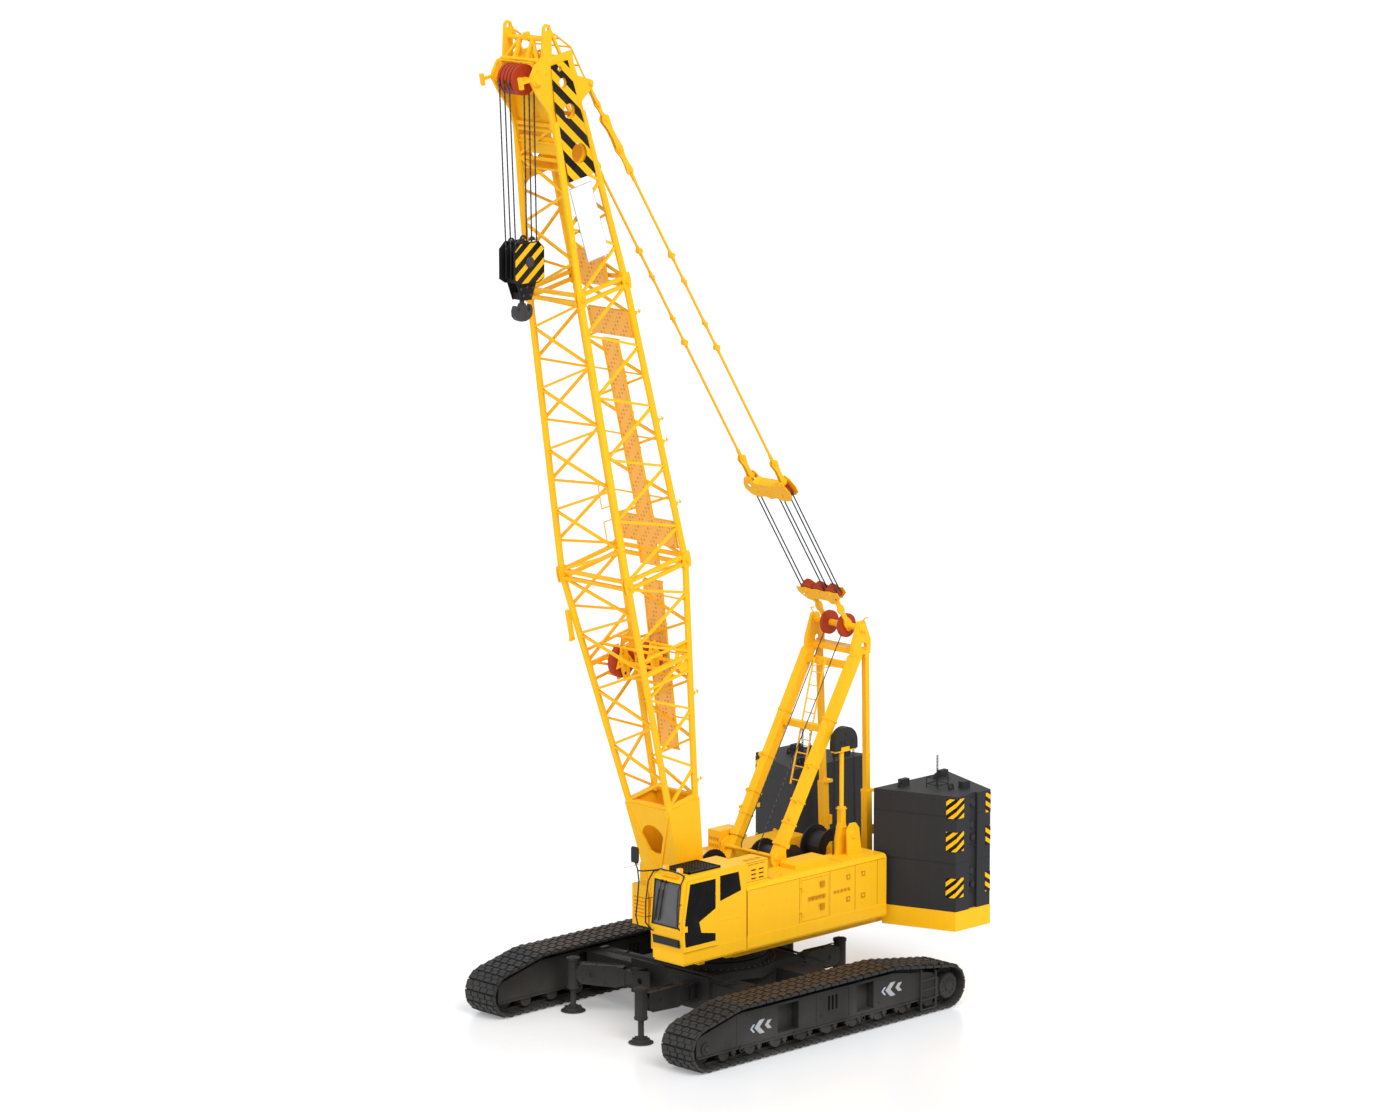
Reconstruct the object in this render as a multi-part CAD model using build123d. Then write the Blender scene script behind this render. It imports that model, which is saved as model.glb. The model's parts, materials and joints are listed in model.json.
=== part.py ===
from build123d import *
import math
import os

os.makedirs("parts", exist_ok=True)

# Millimetres.  X runs forward, Y to the operator's left, Z up.
# The origin is on the slewing axis at ground level.

# ---- tracks ----
GAUGE = 5900            # centre to centre of the tracks
SHOE_W = 900            # width of a shoe
IDLER_X = 3540          # front wheel centre
IDLER_R = 500           # outer radius of the band round it
SPROCKET_X = -3560
SPROCKET_R = 490
TOP_RUN_Z = 1235        # highest part of the band
TOP_RUN_X0, TOP_RUN_X1 = -1900, 2600
SPROCKET_WRAP, IDLER_WRAP = 171, 166      # degrees of band on each wheel
BAND_T = 130            # thickness of band and shoe
SHOE_PITCH = 240
SHOE_GAP = 26           # notch between two shoes
SHOE_DEEP = 45
SEAT = 0.3              # left between two seated pieces

# ---- undercarriage ----
CAR_L, CAR_W = 2700, 2300         # centre box
CAR_Z0, CAR_Z1 = 420, 1150
BEAM_L, BEAM_H = 620, 560         # cross beams, length along X and height
BEAM_DROP = 135                   # their tops, below the top of the centre box
BEAM_X = 950
RING_R, RING_H = 1100, 130        # lower half of the slewing ring
RING_BASE_R, RING_BASE_H = 1400, 190      # eight-sided base plate under it
RING_GAP = 20                     # between the two halves
FRAME_W = 700                     # side frame, across
FRAME_Z0 = 330                    # its lower edge
FRAME_DROP = 45                   # its upper edge lies this far below the band
FRAME_X0, FRAME_X1 = -3300, 3800
FLANGE = 25                       # lips along both edges
POCKET_D = 200                    # depth of the recesses in its faces
POCKETS = ((-1340, -840), (870, 1480))
ROLLER_R, ROLLER_W, ROLLER_N = 150, 640, 9
TOP_ROLLER_R, TOP_ROLLER_W = 85, 300
WHEEL_W, HUB_R, HUB_OUT = 380, 270, 20

# ---- outriggers for self erection ----
JACK_X, JACK_Y = 1500, 780        # swing pin
JACK_L = 1420                     # pin to cylinder
JACK_Z = 830                      # arm centre height
JACK_ARM_H, JACK_ARM_W = 300, 200
JACK_CYL_R, JACK_ROD_R, PAD_R = 105, 62, 190
JACK_CLEAR = 6
JACK_PIN_R = 45
PIN_GAP = 0.5                     # round a pin or rod that turns or slides
PAD_Z = 30                        # underside of a pad when parked

# ---- slewing frame ----
DECK_Z0, DECK_Z1 = 1450, 1750
DECK_X0, DECK_X1 = -4050, 1300
DECK_W = 2300
PROW_X, PROW_W = 600, 1200        # ahead of this the frame narrows to carry the boom
FLOOR_T = 60                      # floors under the houses and the cab
BAND_Z1, BAND_OUT = 1970, 6       # sill band along the sides, and how proud it stands
SUPER_W = 3200                    # over both houses
HOUSE_X0, HOUSE_X1 = -3480, 660
HOUSE_Z1 = 3050
HOUSE_W = 820                     # each house, across
WALL = 30
DOOR_T = 34
PANEL_X0, PANEL_X1 = -1735, -930   # doorway in each house
DOOR_CLEAR = 7
HINGE_R, HINGE_OUT = 8, 20        # hinge pin, and its distance out from the wall
DRUM_PIN_R = 80
# tag, x, z, radius, half width
WINCHES = (("front", -300, 2900, 430, 420), ("rear", -1790, 2890, 430, 420),
           ("luff", -3200, 2980, 430, 270))
POST_X, POST_Y, POST_TOP, POST_R = -2830, 900, 5400, 48      # small service hoist
POST_HEAD_R = 320
# boxes on the houses: x from and to, y from and to, and their tops
COVER, COVER_Z1 = (-40, 640, 1000, 1500), 3530
HUMP, HUMP_Z1 = (-2050, -1050, 850, 1300), 3200
HOOD, HOOD_Z1 = (-1500, -900, -1150, -800), 3550
GRILLE = (1200, -1270, -800, 1850, 2720)       # front end, y from and to, z from and to

# ---- cab ----
CAB_X0, CAB_X1 = 690, 2600
CAB_Y0, CAB_Y1 = 710, 1600
CAB_Z1 = 3560
CAB_WALL = 45
KINK_Z = 2440                     # the nose is furthest forward here
KINK_IN = 100                     # how far the toe is drawn back below it
BROW_IN, BROW_Z, ROOF_IN = 100, 3430, 200      # the nose above it, and the roof's front edge
SILL_Z, SCREEN_Z1 = 2490, 3400    # windscreen
STRIP_Z0, STRIP_Z1 = 2085, 2235   # low pane below it
GLASS_T = 8
DOOR_X0, DOOR_X1 = 1560, 2530     # doorway in the left wall
LEAF_T = 34

# ---- ballast ----
TRAY_Z0, TRAY_Z1 = 1480, 1900
SLAB_Z = (1900, 2940, 3940, 4390)
SLAB_Y0, SLAB_Y1 = 1180, 2980
SLAB_XF, SLAB_XO = -3520, -4150   # inner and outer front corners
SLAB_XR, SLAB_XT = -5200, -5800   # outer and inner rear corners
GROOVE_W, GROOVE_D = 240, 60      # upright groove in the outer faces
LUG_W, LUG_H = 230, 150           # lifting blocks on the top slab

# ---- gantry ----
GANTRY_HEAD_X, GANTRY_HEAD_Z = -3620, 7750
LEG_TOP = (-3550, 7350)
LEG_FOOT = (-390, 1900)
LINK_TOP = (-3760, 7200)
LINK_FOOT = (-3920, 1900)
LEG_Y_TOP, LEG_Y_FOOT = 680, 620
LEG_S, LINK_S = 210, 115
SLEEVE_S, SLEEVE_Z1 = 165, 4200   # thicker lower part of a link
GANTRY_CUT_Z = 7180               # the head stands on legs and links here
HEAD_PIN_R, HEAD_SHEAVE_R = 70, 250
HEAD_SHEAVE_Y, HEAD_SHEAVE_W = 250, 70

# ---- boom ----
FOOT_X, FOOT_Z = 960, 2000
BOOM_DEG = 77.9
T_BASE, T_TOP, T_HEAD = 8000, 14000, 17600
T_PLATE = 16330                   # lower end of the head's side plates
BOX_T = 2850                      # length of the plated foot box
# station along the boom, width, depth
SECTIONS = ((0, 900, 420), (BOX_T, 1180, 760), (T_BASE, 1940, 1650),
            (T_TOP, 1490, 1260), (T_HEAD, 1150, 740))
CHORD_R = 68
LACE_S, FRAME_S = 52, 74          # lacing, and the frames at the ends of a section
END_T = 80                        # from a section's end to its frame
BAYS = (8, 9, 5)                  # diagonals on a face of the base, the insert and the top
FOOT_PIN_R = 60
PLATE_Y, PLATE_T = 560, 60        # side plates of the head
EAR_T, EAR_C, EAR_BORE_R = 19445, 196, 52
LUG_T, LUG_C = 18090, -700        # pendant lug, along and behind the boom
SHEAVE_T, SHEAVE_C = 18530, 685   # head sheave axis, along and ahead of it
SHEAVE_R, SHEAVE_W, SHEAVE_PIN_R = 312, 66, 60
SHEAVE_N, SHEAVE_PITCH = 5, 96
GUIDE_R, GUIDE_W = 330, 120
GUIDE_T = 5950
GUIDE_PIN_R = 40
# ahead of the centre line, to the left of it
GUIDES = ((220, -300), (-240, 100))

# ---- luffing tackle ----
LOW_D, UP_D = 850, 3900           # spreaders, from the gantry head
ROPE_R = 14
ROPE_Y = (-300, 0, 300)
SPREAD_R = 190                    # sheaves of the spreaders
# joints of the pendants: distance from the gantry head, length
LINKS = ((UP_D + 160, 380), (UP_D + 3300, 320), (UP_D + 6400, 320))

# ---- hoist ----
HOOK_TOP_Z = 16750
BLOCK_W, BLOCK_H = 460, 830       # cheek to cheek, height of a cheek
BLOCK_BACK = 110                  # the block hangs this far behind the head sheaves
YOKE_H = 340
BLOCK_R = 260                     # its sheaves
FALL_Y = (-144, 0, 144)


def box(x0, x1, y0, y1, z0, z1):
    return Pos((x0 + x1) / 2, (y0 + y1) / 2, (z0 + z1) / 2) * Box(x1 - x0, y1 - y0, z1 - z0)


def slab_xz(points, y0, y1):
    """A flat piece drawn in the XZ plane, standing from y0 to y1."""
    face = make_face(Plane.XZ * Polyline(*points, close=True))
    return Pos(0, y1, 0) * extrude(face, y1 - y0, dir=(0, -1, 0))


def slab_xy(points, z0, z1):
    face = make_face(Polyline(*points, close=True))
    return Pos(0, 0, z0) * extrude(face, z1 - z0)


def rod_y(x, z, r, y0, y1, n=0):
    """A round piece along Y; with n it has n flat sides."""
    if n:
        ring = [(x + r * math.cos(2 * math.pi * (i + .5) / n),
                 z + r * math.sin(2 * math.pi * (i + .5) / n)) for i in range(n)]
        return slab_xz(ring, y0, y1)
    return Pos(x, (y0 + y1) / 2, z) * Rot(90, 0, 0) * Cylinder(r, y1 - y0)


def rod_z(x, y, r, z0, z1, n=0):
    if n:
        return Pos(x, y, z0) * extrude(RegularPolygon(r, n), z1 - z0)
    return Pos(x, y, (z0 + z1) / 2) * Cylinder(r, z1 - z0)


def both(y0, y1):
    """The same span of Y on the left and on the right."""
    return (y0, y1), (-y1, -y0)


def bar(a, b, size, sides=4, extend=0):
    """A straight member with flat sides from a to b."""
    va, vb = Vector(*a), Vector(*b)
    run = vb - va
    n = run.normalized()
    ref = Vector(0, 1, 0) if abs(n.Y) < .9 else Vector(1, 0, 0)
    pl = Plane(origin=va - n * extend, x_dir=ref.cross(n), z_dir=n)
    r = size / 2 / math.cos(math.pi / sides)
    sk = RegularPolygon(r, sides, rotation=180 / sides)
    return extrude(pl * sk, run.length + 2 * extend, dir=n)


def join(first, rest):
    return first.fuse(*rest) if rest else first


def out(name, shape):
    if isinstance(shape, (list, tuple)):
        shape = Compound(children=list(shape))
    export_step(shape, "parts/" + name + ".step")


# ================= tracks =================
def track_points(grow, notched):
    """The closed outline of the band, grown outwards from its inner face."""
    ri, rs = IDLER_R - BAND_T + grow, SPROCKET_R - BAND_T + grow
    zi, zs = IDLER_R, SPROCKET_R
    top = TOP_RUN_Z - BAND_T + grow
    pts = []
    for k in range(9):                      # round the sprocket, from below
        a = math.radians(-90 - SPROCKET_WRAP * k / 8)
        pts.append((SPROCKET_X + rs * math.cos(a), zs + rs * math.sin(a)))
    pts += [(TOP_RUN_X0, top), (TOP_RUN_X1, top)]
    for k in range(9):
        a = math.radians(IDLER_WRAP - 90 - IDLER_WRAP * k / 8)
        pts.append((IDLER_X + ri * math.cos(a), zi + ri * math.sin(a)))
    if not notched:
        return pts
    res = []
    loop = pts + [pts[0]]
    for (xa, za), (xb, zb) in zip(loop, loop[1:]):
        run = math.hypot(xb - xa, zb - za)
        ux, uz = (xb - xa) / run, (zb - za) / run
        nx, nz = uz, -ux                    # towards the inside
        res.append((xa, za))
        n = int(run // SHOE_PITCH)
        for i in range(n):
            s = (i + .5) * run / n
            for ds, dd in ((-SHOE_GAP / 2, 0), (-SHOE_GAP / 2, SHOE_DEEP),
                           (SHOE_GAP / 2, SHOE_DEEP), (SHOE_GAP / 2, 0)):
                res.append((xa + ux * (s + ds) + nx * dd, za + uz * (s + ds) + nz * dd))
    return res


def track(side):
    ya, yb = side * GAUGE / 2 - SHOE_W / 2, side * GAUGE / 2 + SHOE_W / 2
    band = slab_xz(track_points(BAND_T, True), ya, yb)
    return band - slab_xz(track_points(0, False), ya - 5, yb + 5)


def track_frame(side):
    """Welded frame with lips and recesses, wheels at the ends, rollers above and below."""
    yc = side * GAUGE / 2
    y0, y1 = yc - FRAME_W / 2, yc + FRAME_W / 2
    z_run = TOP_RUN_Z - BAND_T              # inner face of the upper run
    zt = z_run - FRAME_DROP
    body = slab_xz([(FRAME_X0, FRAME_Z0), (FRAME_X1, FRAME_Z0), (FRAME_X1 - 10, IDLER_R + 200),
                    (FRAME_X1 - 100, IDLER_R + 270), (TOP_RUN_X1 - 40, zt), (TOP_RUN_X0 + 40, zt),
                    (FRAME_X0 + 200, SPROCKET_R + 370), (FRAME_X0, SPROCKET_R + 210)], y0, y1)
    adds = [box(FRAME_X0, FRAME_X1 - 20, y0 - FLANGE, y1 + FLANGE, FRAME_Z0 - 10, FRAME_Z0 + 20),
            box(TOP_RUN_X0 + 40, TOP_RUN_X1 - 40, y0 - FLANGE, y1 + FLANGE, zt - 30, zt)]
    for ya, yb in ((y0 - 5, y0 + POCKET_D), (y1 - POCKET_D, y1 + 5)):
        for x0, x1 in POCKETS:
            body -= box(x0, x1, ya, yb, FRAME_Z0 + 90, zt - 60)
    for ya, yb in ((y0 - 5, y0 + 60), (y1 - 60, y1 + 5)):
        for x in (-270, -160, -50):         # upright slots between the recesses
            body -= box(x, x + 60, ya, yb, 620, 930)
    flat = math.cos(math.radians(11.25))    # the band lies round its wheels in flats
    for x, z, r, w in ((IDLER_X, IDLER_R, (IDLER_R - BAND_T) * flat - SEAT, WHEEL_W),
                       (SPROCKET_X, SPROCKET_R, (SPROCKET_R - BAND_T) * flat - SEAT, WHEEL_W),
                       (SPROCKET_X, SPROCKET_R, HUB_R, FRAME_W + 2 * HUB_OUT)):
        adds.append(rod_y(x, z, r, yc - w / 2, yc + w / 2, 16))
    span = IDLER_X - SPROCKET_X - 1100
    for i in range(ROLLER_N):
        x = SPROCKET_X + 550 + span * i / (ROLLER_N - 1)
        adds.append(rod_y(x, BAND_T + ROLLER_R + SEAT, ROLLER_R, yc - ROLLER_W / 2, yc + ROLLER_W / 2, 10))
    for x in (-900, 700, 2000):
        adds.append(rod_y(x, z_run - TOP_ROLLER_R - SEAT, TOP_ROLLER_R,
                          yc - TOP_ROLLER_W / 2, yc + TOP_ROLLER_W / 2, 10))
    return join(body, adds)


for s, tag in ((1, "left"), (-1, "right")):
    out("track_" + tag, track(s))
    out("track_frame_" + tag, track_frame(s))

# ================= carbody =================
car = box(-CAR_L / 2, CAR_L / 2, -CAR_W / 2, CAR_W / 2, CAR_Z0, CAR_Z1)
y_in = GAUGE / 2 - FRAME_W / 2
parts = []
for x in (-BEAM_X, BEAM_X):
    parts.append(box(x - BEAM_L / 2, x + BEAM_L / 2, -y_in, y_in,
                     CAR_Z1 - BEAM_DROP - BEAM_H, CAR_Z1 - BEAM_DROP))
parts.append(rod_z(0, 0, RING_R, CAR_Z1, CAR_Z1 + RING_H, 40))
parts.append(rod_z(0, 0, RING_BASE_R, CAR_Z1 - RING_BASE_H, CAR_Z1, 8))
for sx in (-1, 1):
    for sy in (-1, 1):
        for z0, z1 in ((JACK_Z + JACK_ARM_H / 2 + JACK_CLEAR, JACK_Z + JACK_ARM_H / 2 + 50),
                       (JACK_Z - JACK_ARM_H / 2 - 50, JACK_Z - JACK_ARM_H / 2 - JACK_CLEAR)):
            x0, x1 = sorted((sx * (CAR_L / 2 - 40), sx * (JACK_X + 110)))
            parts.append(box(x0, x1, sy * JACK_Y - 120, sy * JACK_Y + 120, z0, z1))
        parts.append(rod_z(sx * JACK_X, sy * JACK_Y, JACK_PIN_R, JACK_Z - JACK_ARM_H / 2 - 40,
                           JACK_Z + JACK_ARM_H / 2 + 40))
car = join(car, parts)
out("carbody", car)

# ================= outriggers =================
# tag, end (+1 front), side (+1 left), swing from straight ahead or behind in degrees
JACKS = (("fl", 1, 1, 0), ("fr", 1, -1, 60), ("rl", -1, 1, 0), ("rr", -1, -1, 0))
SIDES = 12                              # flat sides of cylinders, rods and pads
ROUND = 1 / math.cos(math.pi / SIDES)   # corner radius against flat radius
for tag, ex, sy, swing in JACKS:
    ang = math.radians(swing)
    turn = math.degrees(math.atan2(sy * math.sin(ang), ex * math.cos(ang)))
    spot = Pos(ex * JACK_X, sy * JACK_Y, 0) * Rot(0, 0, turn)
    arm_z0, arm_z1 = JACK_Z - JACK_ARM_H / 2, JACK_Z + JACK_ARM_H / 2
    cyl_z0, cyl_z1 = JACK_Z - 330, JACK_Z + 330
    arm = slab_xz([(0, arm_z0), (JACK_L, arm_z0 + 60), (JACK_L, arm_z1 - 40), (0, arm_z1)],
                  -JACK_ARM_W / 2, JACK_ARM_W / 2)
    arm = arm.fuse(rod_z(JACK_L, 0, JACK_CYL_R + 30, cyl_z0, cyl_z1, SIDES),
                   rod_z(0, 0, JACK_ARM_W / 2, arm_z0, arm_z1, SIDES))
    arm -= rod_z(0, 0, (JACK_PIN_R + PIN_GAP) * ROUND, 0, arm_z1 + 5, SIDES)
    arm -= rod_z(JACK_L, 0, (JACK_ROD_R + PIN_GAP) * ROUND, cyl_z0 - 5, cyl_z1 - 60, SIDES)
    out("jack_arm_" + tag, spot * arm)
    pad = rod_z(JACK_L, 0, JACK_ROD_R * ROUND, PAD_Z + 50, cyl_z0 + 200, SIDES)
    pad = pad.fuse(rod_z(JACK_L, 0, PAD_R, PAD_Z, PAD_Z + 60, 16),
                   rod_z(JACK_L, 0, JACK_ROD_R + 40, PAD_Z + 50, PAD_Z + 110, SIDES))
    out("jack_pad_" + tag, spot * pad)

# ================= slewing frame =================
deck = box(DECK_X0, PROW_X, -DECK_W / 2, DECK_W / 2, DECK_Z0, DECK_Z1)
ring_top = CAR_Z1 + RING_H + RING_GAP
deck_parts = [rod_z(0, 0, RING_R - 40, ring_top, DECK_Z0),
              box(PROW_X - 10, DECK_X1, -PROW_W / 2, PROW_W / 2, DECK_Z0, DECK_Z1)]
w_foot = SECTIONS[0][1] / 2
for y0, y1 in both(w_foot + 8, w_foot + 68):           # boom foot brackets
    deck_parts.append(slab_xz([(FOOT_X - 350, DECK_Z1), (DECK_X1, DECK_Z1),
                               (FOOT_X + 170, FOOT_Z + 140), (FOOT_X + 70, FOOT_Z + 190),
                               (FOOT_X - 70, FOOT_Z + 190), (FOOT_X - 170, FOOT_Z + 140)], y0, y1))
for y0, y1 in both(w_foot - 118, w_foot + 20):
    deck_parts.append(rod_y(FOOT_X, FOOT_Z, FOOT_PIN_R, y0, y1))
for y0, y1 in both(DECK_W / 2, SUPER_W / 2 - 20):      # floors under the houses
    deck_parts.append(box(HOUSE_X0, HOUSE_X1, y0, y1, DECK_Z1 - FLOOR_T, DECK_Z1))
for y0, y1 in both(LEG_Y_FOOT - 60, LEG_Y_FOOT + 60):  # seats of the gantry
    deck_parts.append(slab_xz([(LEG_FOOT[0] - 330, DECK_Z1), (LEG_FOOT[0] + 330, DECK_Z1),
                               (LEG_FOOT[0] + 230, LEG_FOOT[1] - SEAT),
                               (LEG_FOOT[0] - 180, LEG_FOOT[1] - SEAT)], y0, y1))
    deck_parts.append(box(LINK_FOOT[0] - 120, LINK_FOOT[0] + 150, y0, y1, DECK_Z1, LINK_FOOT[1] - SEAT))
deck_parts.append(box(PROW_X - 10, CAB_X1 - KINK_IN - 20, CAB_Y0 + 20, CAB_Y1 - 20, DECK_Z1 - FLOOR_T, DECK_Z1))
for x in (900, 1700):                    # outriggers that carry the cab's floor
    deck_parts.append(box(x, x + 160, PROW_W / 2 - 10, CAB_Y1 - 200, DECK_Z0 + 120, DECK_Z1 - FLOOR_T + 10))

PANEL_Z0, PANEL_Z1 = BAND_Z1 + 40, HOUSE_Z1 - 150
HINGE_Z = (PANEL_Z0 + 180, PANEL_Z1 - 180)
FACE_Y = SUPER_W / 2


def recesses(sy, row_x, pulls):
    """Shallow cuts of a panel: a row of short slots, and square pulls above and below it."""
    ya, yb = sorted((sy * (FACE_Y - 10), sy * (FACE_Y + 5)))
    cuts = [box(row_x + 80 * i, row_x + 80 * i + 40, ya, yb, 2420, 2510) for i in range(6)]
    for x in pulls:
        for z in (2240, 2800):
            cuts.append(box(x - 70, x + 70, ya, yb, z - 75, z + 75))
    return join(cuts[0], cuts[1:])


def house(sy):
    """A sheet shell, open below, rounded along its upper outer edge, with a doorway."""
    r = 90
    ring = [(FACE_Y - HOUSE_W, DECK_Z1), (FACE_Y, DECK_Z1), (FACE_Y, HOUSE_Z1 - r),
            (FACE_Y - r * .3, HOUSE_Z1 - r * .3), (FACE_Y - r, HOUSE_Z1), (FACE_Y - HOUSE_W, HOUSE_Z1)]
    face = make_face(Plane.YZ * Polyline(*[(sy * y, z) for y, z in ring], close=True))
    shell = Pos(HOUSE_X0, 0, 0) * extrude(face, HOUSE_X1 - HOUSE_X0, dir=(1, 0, 0))
    y0, y1 = sorted((sy * (FACE_Y - HOUSE_W), sy * FACE_Y))
    shell -= box(HOUSE_X0 + WALL, HOUSE_X1 - WALL, y0 + WALL, y1 - WALL, DECK_Z1 - 5, HOUSE_Z1 - 2 * WALL)
    ya, yb = sorted((sy * (FACE_Y - DOOR_T - 20), sy * (FACE_Y + 5)))
    shell -= box(PANEL_X0, PANEL_X1, ya, yb, PANEL_Z0, PANEL_Z1)
    shell -= recesses(sy, -2370, (-2300, -2700))
    ya, yb = sorted((sy * (FACE_Y - 18), sy * (FACE_Y + BAND_OUT)))
    return shell.fuse(box(HOUSE_X0, HOUSE_X1, ya, yb, DECK_Z1 - 20, BAND_Z1))


def hinge(sy, z):
    """Tab and pin on the wall, tab and bored knuckle on the leaf."""
    yc = sy * (FACE_Y + HINGE_OUT)
    y0, y1 = sorted((sy * (FACE_Y - 5), sy * (FACE_Y + HINGE_OUT + HINGE_R)))
    x = PANEL_X1
    fixed = box(x, x + 70, y0, y1, z + 40, z + 64).fuse(rod_z(x, yc, HINGE_R, z - 38, z + 50))
    hung = rod_z(x, yc, 2 * HINGE_R - 2, z - 38, z + 38, SIDES)
    hung = hung.fuse(box(x - 90, x - HINGE_R, *sorted((sy * (FACE_Y - 5), yc)), z - 38, z + 38))
    return fixed, hung - rod_z(x, yc, HINGE_R + PIN_GAP, z - 50, z + 50)


for sy, tag in ((1, "left"), (-1, "right")):
    wall, ends = house(sy), [hinge(sy, z) for z in HINGE_Z]
    extra = [e[0] for e in ends]
    if sy > 0:
        # side box behind the cab, rounded cover behind it, and the service hoist on its bracket
        x0, x1, y0, y1 = COVER
        cover = box(x0, x1, y0, y1, HOUSE_Z1 - 5, COVER_Z1)
        cover -= box(x0 + WALL, x1 - WALL, y0 + WALL, y1 - WALL, HOUSE_Z1 - 10, COVER_Z1 - WALL)
        for z in (3140, 3230, 3320):
            for x in (80, 300):
                cover -= box(x, x + 150, y1 - WALL - 5, y1 + 5, z, z + 35)
        x0, x1, y0, y1 = HUMP
        hump = slab_xz([(x0, HOUSE_Z1 - 5), (x1, HOUSE_Z1 - 5), (x1, HUMP_Z1 - 60), (x1 - 60, HUMP_Z1),
                        (x0 + 60, HUMP_Z1), (x0, HUMP_Z1 - 60)], y0, y1)
        extra += [cover, hump, rod_z(POST_X, POST_Y, POST_R, HOUSE_Z1 + 500, POST_TOP, 10),
                  slab_xz([(POST_X - 230, HOUSE_Z1 - 10), (POST_X + 230, HOUSE_Z1 - 10),
                           (POST_X + 70, HOUSE_Z1 + 670), (POST_X - 70, HOUSE_Z1 + 670)],
                          POST_Y - 60, POST_Y + 60),
                  rod_y(POST_X - 60, POST_TOP - 100, POST_HEAD_R, POST_Y - 70, POST_Y + 70, 16) &
                  box(POST_X - 500, POST_X + 400, POST_Y - 90, POST_Y + 90, POST_TOP - 150, POST_TOP + 400)]
    else:
        x0, x1, y0, y1 = HOOD
        hood = box(x0, x1, y0, y1, HOUSE_Z1 - 5, HOOD_Z1)
        hood -= box(x0 + WALL, x1 - WALL, y0 + WALL, y1 - WALL, HOUSE_Z1 - 10, HOOD_Z1 - WALL)
        for z in (3170, 3320):
            for y in range(-1110, -860, 60):
                hood -= box(x1 - WALL - 5, x1 + 5, y, y + 30, z, z + 80)
        # louvred cover beside the boom foot
        x1, y0, y1, z0, z1 = GRILLE
        front = box(HOUSE_X1 - 5, x1, y0, y1, z0, z1)
        for z in range(z0 + 180, z1 - 250, 80):
            front -= box(x1 - 40, x1 + 5, y0 + 60, y1 - 60, z, z + 35)
        extra += [hood, front]
    out("house_" + tag, join(wall, extra))
    ya, yb = sorted((sy * (FACE_Y - DOOR_T), sy * FACE_Y))
    leaf = box(PANEL_X0 + DOOR_CLEAR, PANEL_X1 - DOOR_CLEAR, ya, yb,
               PANEL_Z0 + DOOR_CLEAR, PANEL_Z1 - DOOR_CLEAR)
    leaf -= recesses(sy, -1590, (-1500,))
    out("house_door_" + tag, join(leaf, [e[1] for e in ends]))
out("engine", box(-3100, -1700, -FACE_Y + 200, -FACE_Y + HOUSE_W - 150, DECK_Z1, 2650))

# ================= cab =================
w = CAB_WALL
toe_x = CAB_X1 - KINK_IN


def nose(k):
    """Side outline of the cab drawn in by k."""
    return [(CAB_X0 + k, DECK_Z1 + k), (toe_x - k, DECK_Z1 + k), (toe_x - k, BAND_Z1), (CAB_X1 - k, KINK_Z),
            (CAB_X1 - BROW_IN - k, BROW_Z), (CAB_X1 - ROOF_IN - k, CAB_Z1 - k), (CAB_X0 + k, CAB_Z1 - k)]


cab = slab_xz(nose(0), CAB_Y0, CAB_Y1) - slab_xz(nose(w), CAB_Y0 + w, CAB_Y1 - w)
WIN_RIGHT = [(CAB_X0 + 130, SILL_Z - 100), (CAB_X1 - 150, SILL_Z - 100), (CAB_X1 - 240, CAB_Z1 - 190),
             (CAB_X0 + 130, CAB_Z1 - 190)]
cab -= slab_xz(WIN_RIGHT, CAB_Y0 - 5, CAB_Y0 + w + 5)
door_z0, door_z1 = BAND_Z1 + 40, CAB_Z1 - 120


def doorway(k):
    return [(DOOR_X0 + k, door_z0 + k), (DOOR_X1 - 30 - k, door_z0 + k), (DOOR_X1 - k, 2300),
            (DOOR_X1 - k, 2570), (DOOR_X1 - 150 - k, door_z1 - k), (DOOR_X0 + k, door_z1 - k)]


cab -= slab_xz(doorway(0), CAB_Y1 - w - 5, CAB_Y1 + 5)
WIN_LEFT = [(CAB_X0 + 140, 3010), (DOOR_X0 - 110, 2880), (DOOR_X0 - 110, 3420), (CAB_X0 + 220, 3420)]
cab -= slab_xz(WIN_LEFT, CAB_Y1 - w - 5, CAB_Y1 + 5)
GLASS_Y = (CAB_Y0 + 60, CAB_Y1 - 60)
cab -= box(CAB_X1 - 200, CAB_X1 + 5, *GLASS_Y, SILL_Z, SCREEN_Z1)
cab -= box(CAB_X1 - 200, CAB_X1 + 5, *GLASS_Y, STRIP_Z0, STRIP_Z1)
band = box(toe_x - 18, toe_x + BAND_OUT, CAB_Y0, CAB_Y1 + BAND_OUT, DECK_Z1 - 20, BAND_Z1)
cab = cab.fuse(band, box(CAB_X0, toe_x, CAB_Y1 - 18, CAB_Y1 + BAND_OUT, DECK_Z1 - 20, BAND_Z1))
seat = box(1350, 1850, 900, 1400, DECK_Z1 + w - 1, 2250).fuse(
    slab_xz([(1300, 2200), (1440, 2200), (1360, 2960), (1250, 2960)], 920, 1380),
    box(2150, 2300, 1050, 1250, DECK_Z1 + w - 1, 2350))
out("cab_shell", cab.fuse(seat))


def nose_x(z):
    """Outer face of the nose at a height."""
    rows = nose(0)[2:5]
    for (xa, za), (xb, zb) in zip(rows, rows[1:]):
        if z <= zb:
            return xa + (xb - xa) * (z - za) / (zb - za)


def pane(z0, z1):
    """A front pane let into the nose between two heights."""
    x0, x1 = nose_x(z0) - 20, nose_x(z1) - 20
    return slab_xz([(x0, z0), (x0 - GLASS_T, z0), (x1 - GLASS_T, z1), (x1, z1)], *GLASS_Y)


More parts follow.
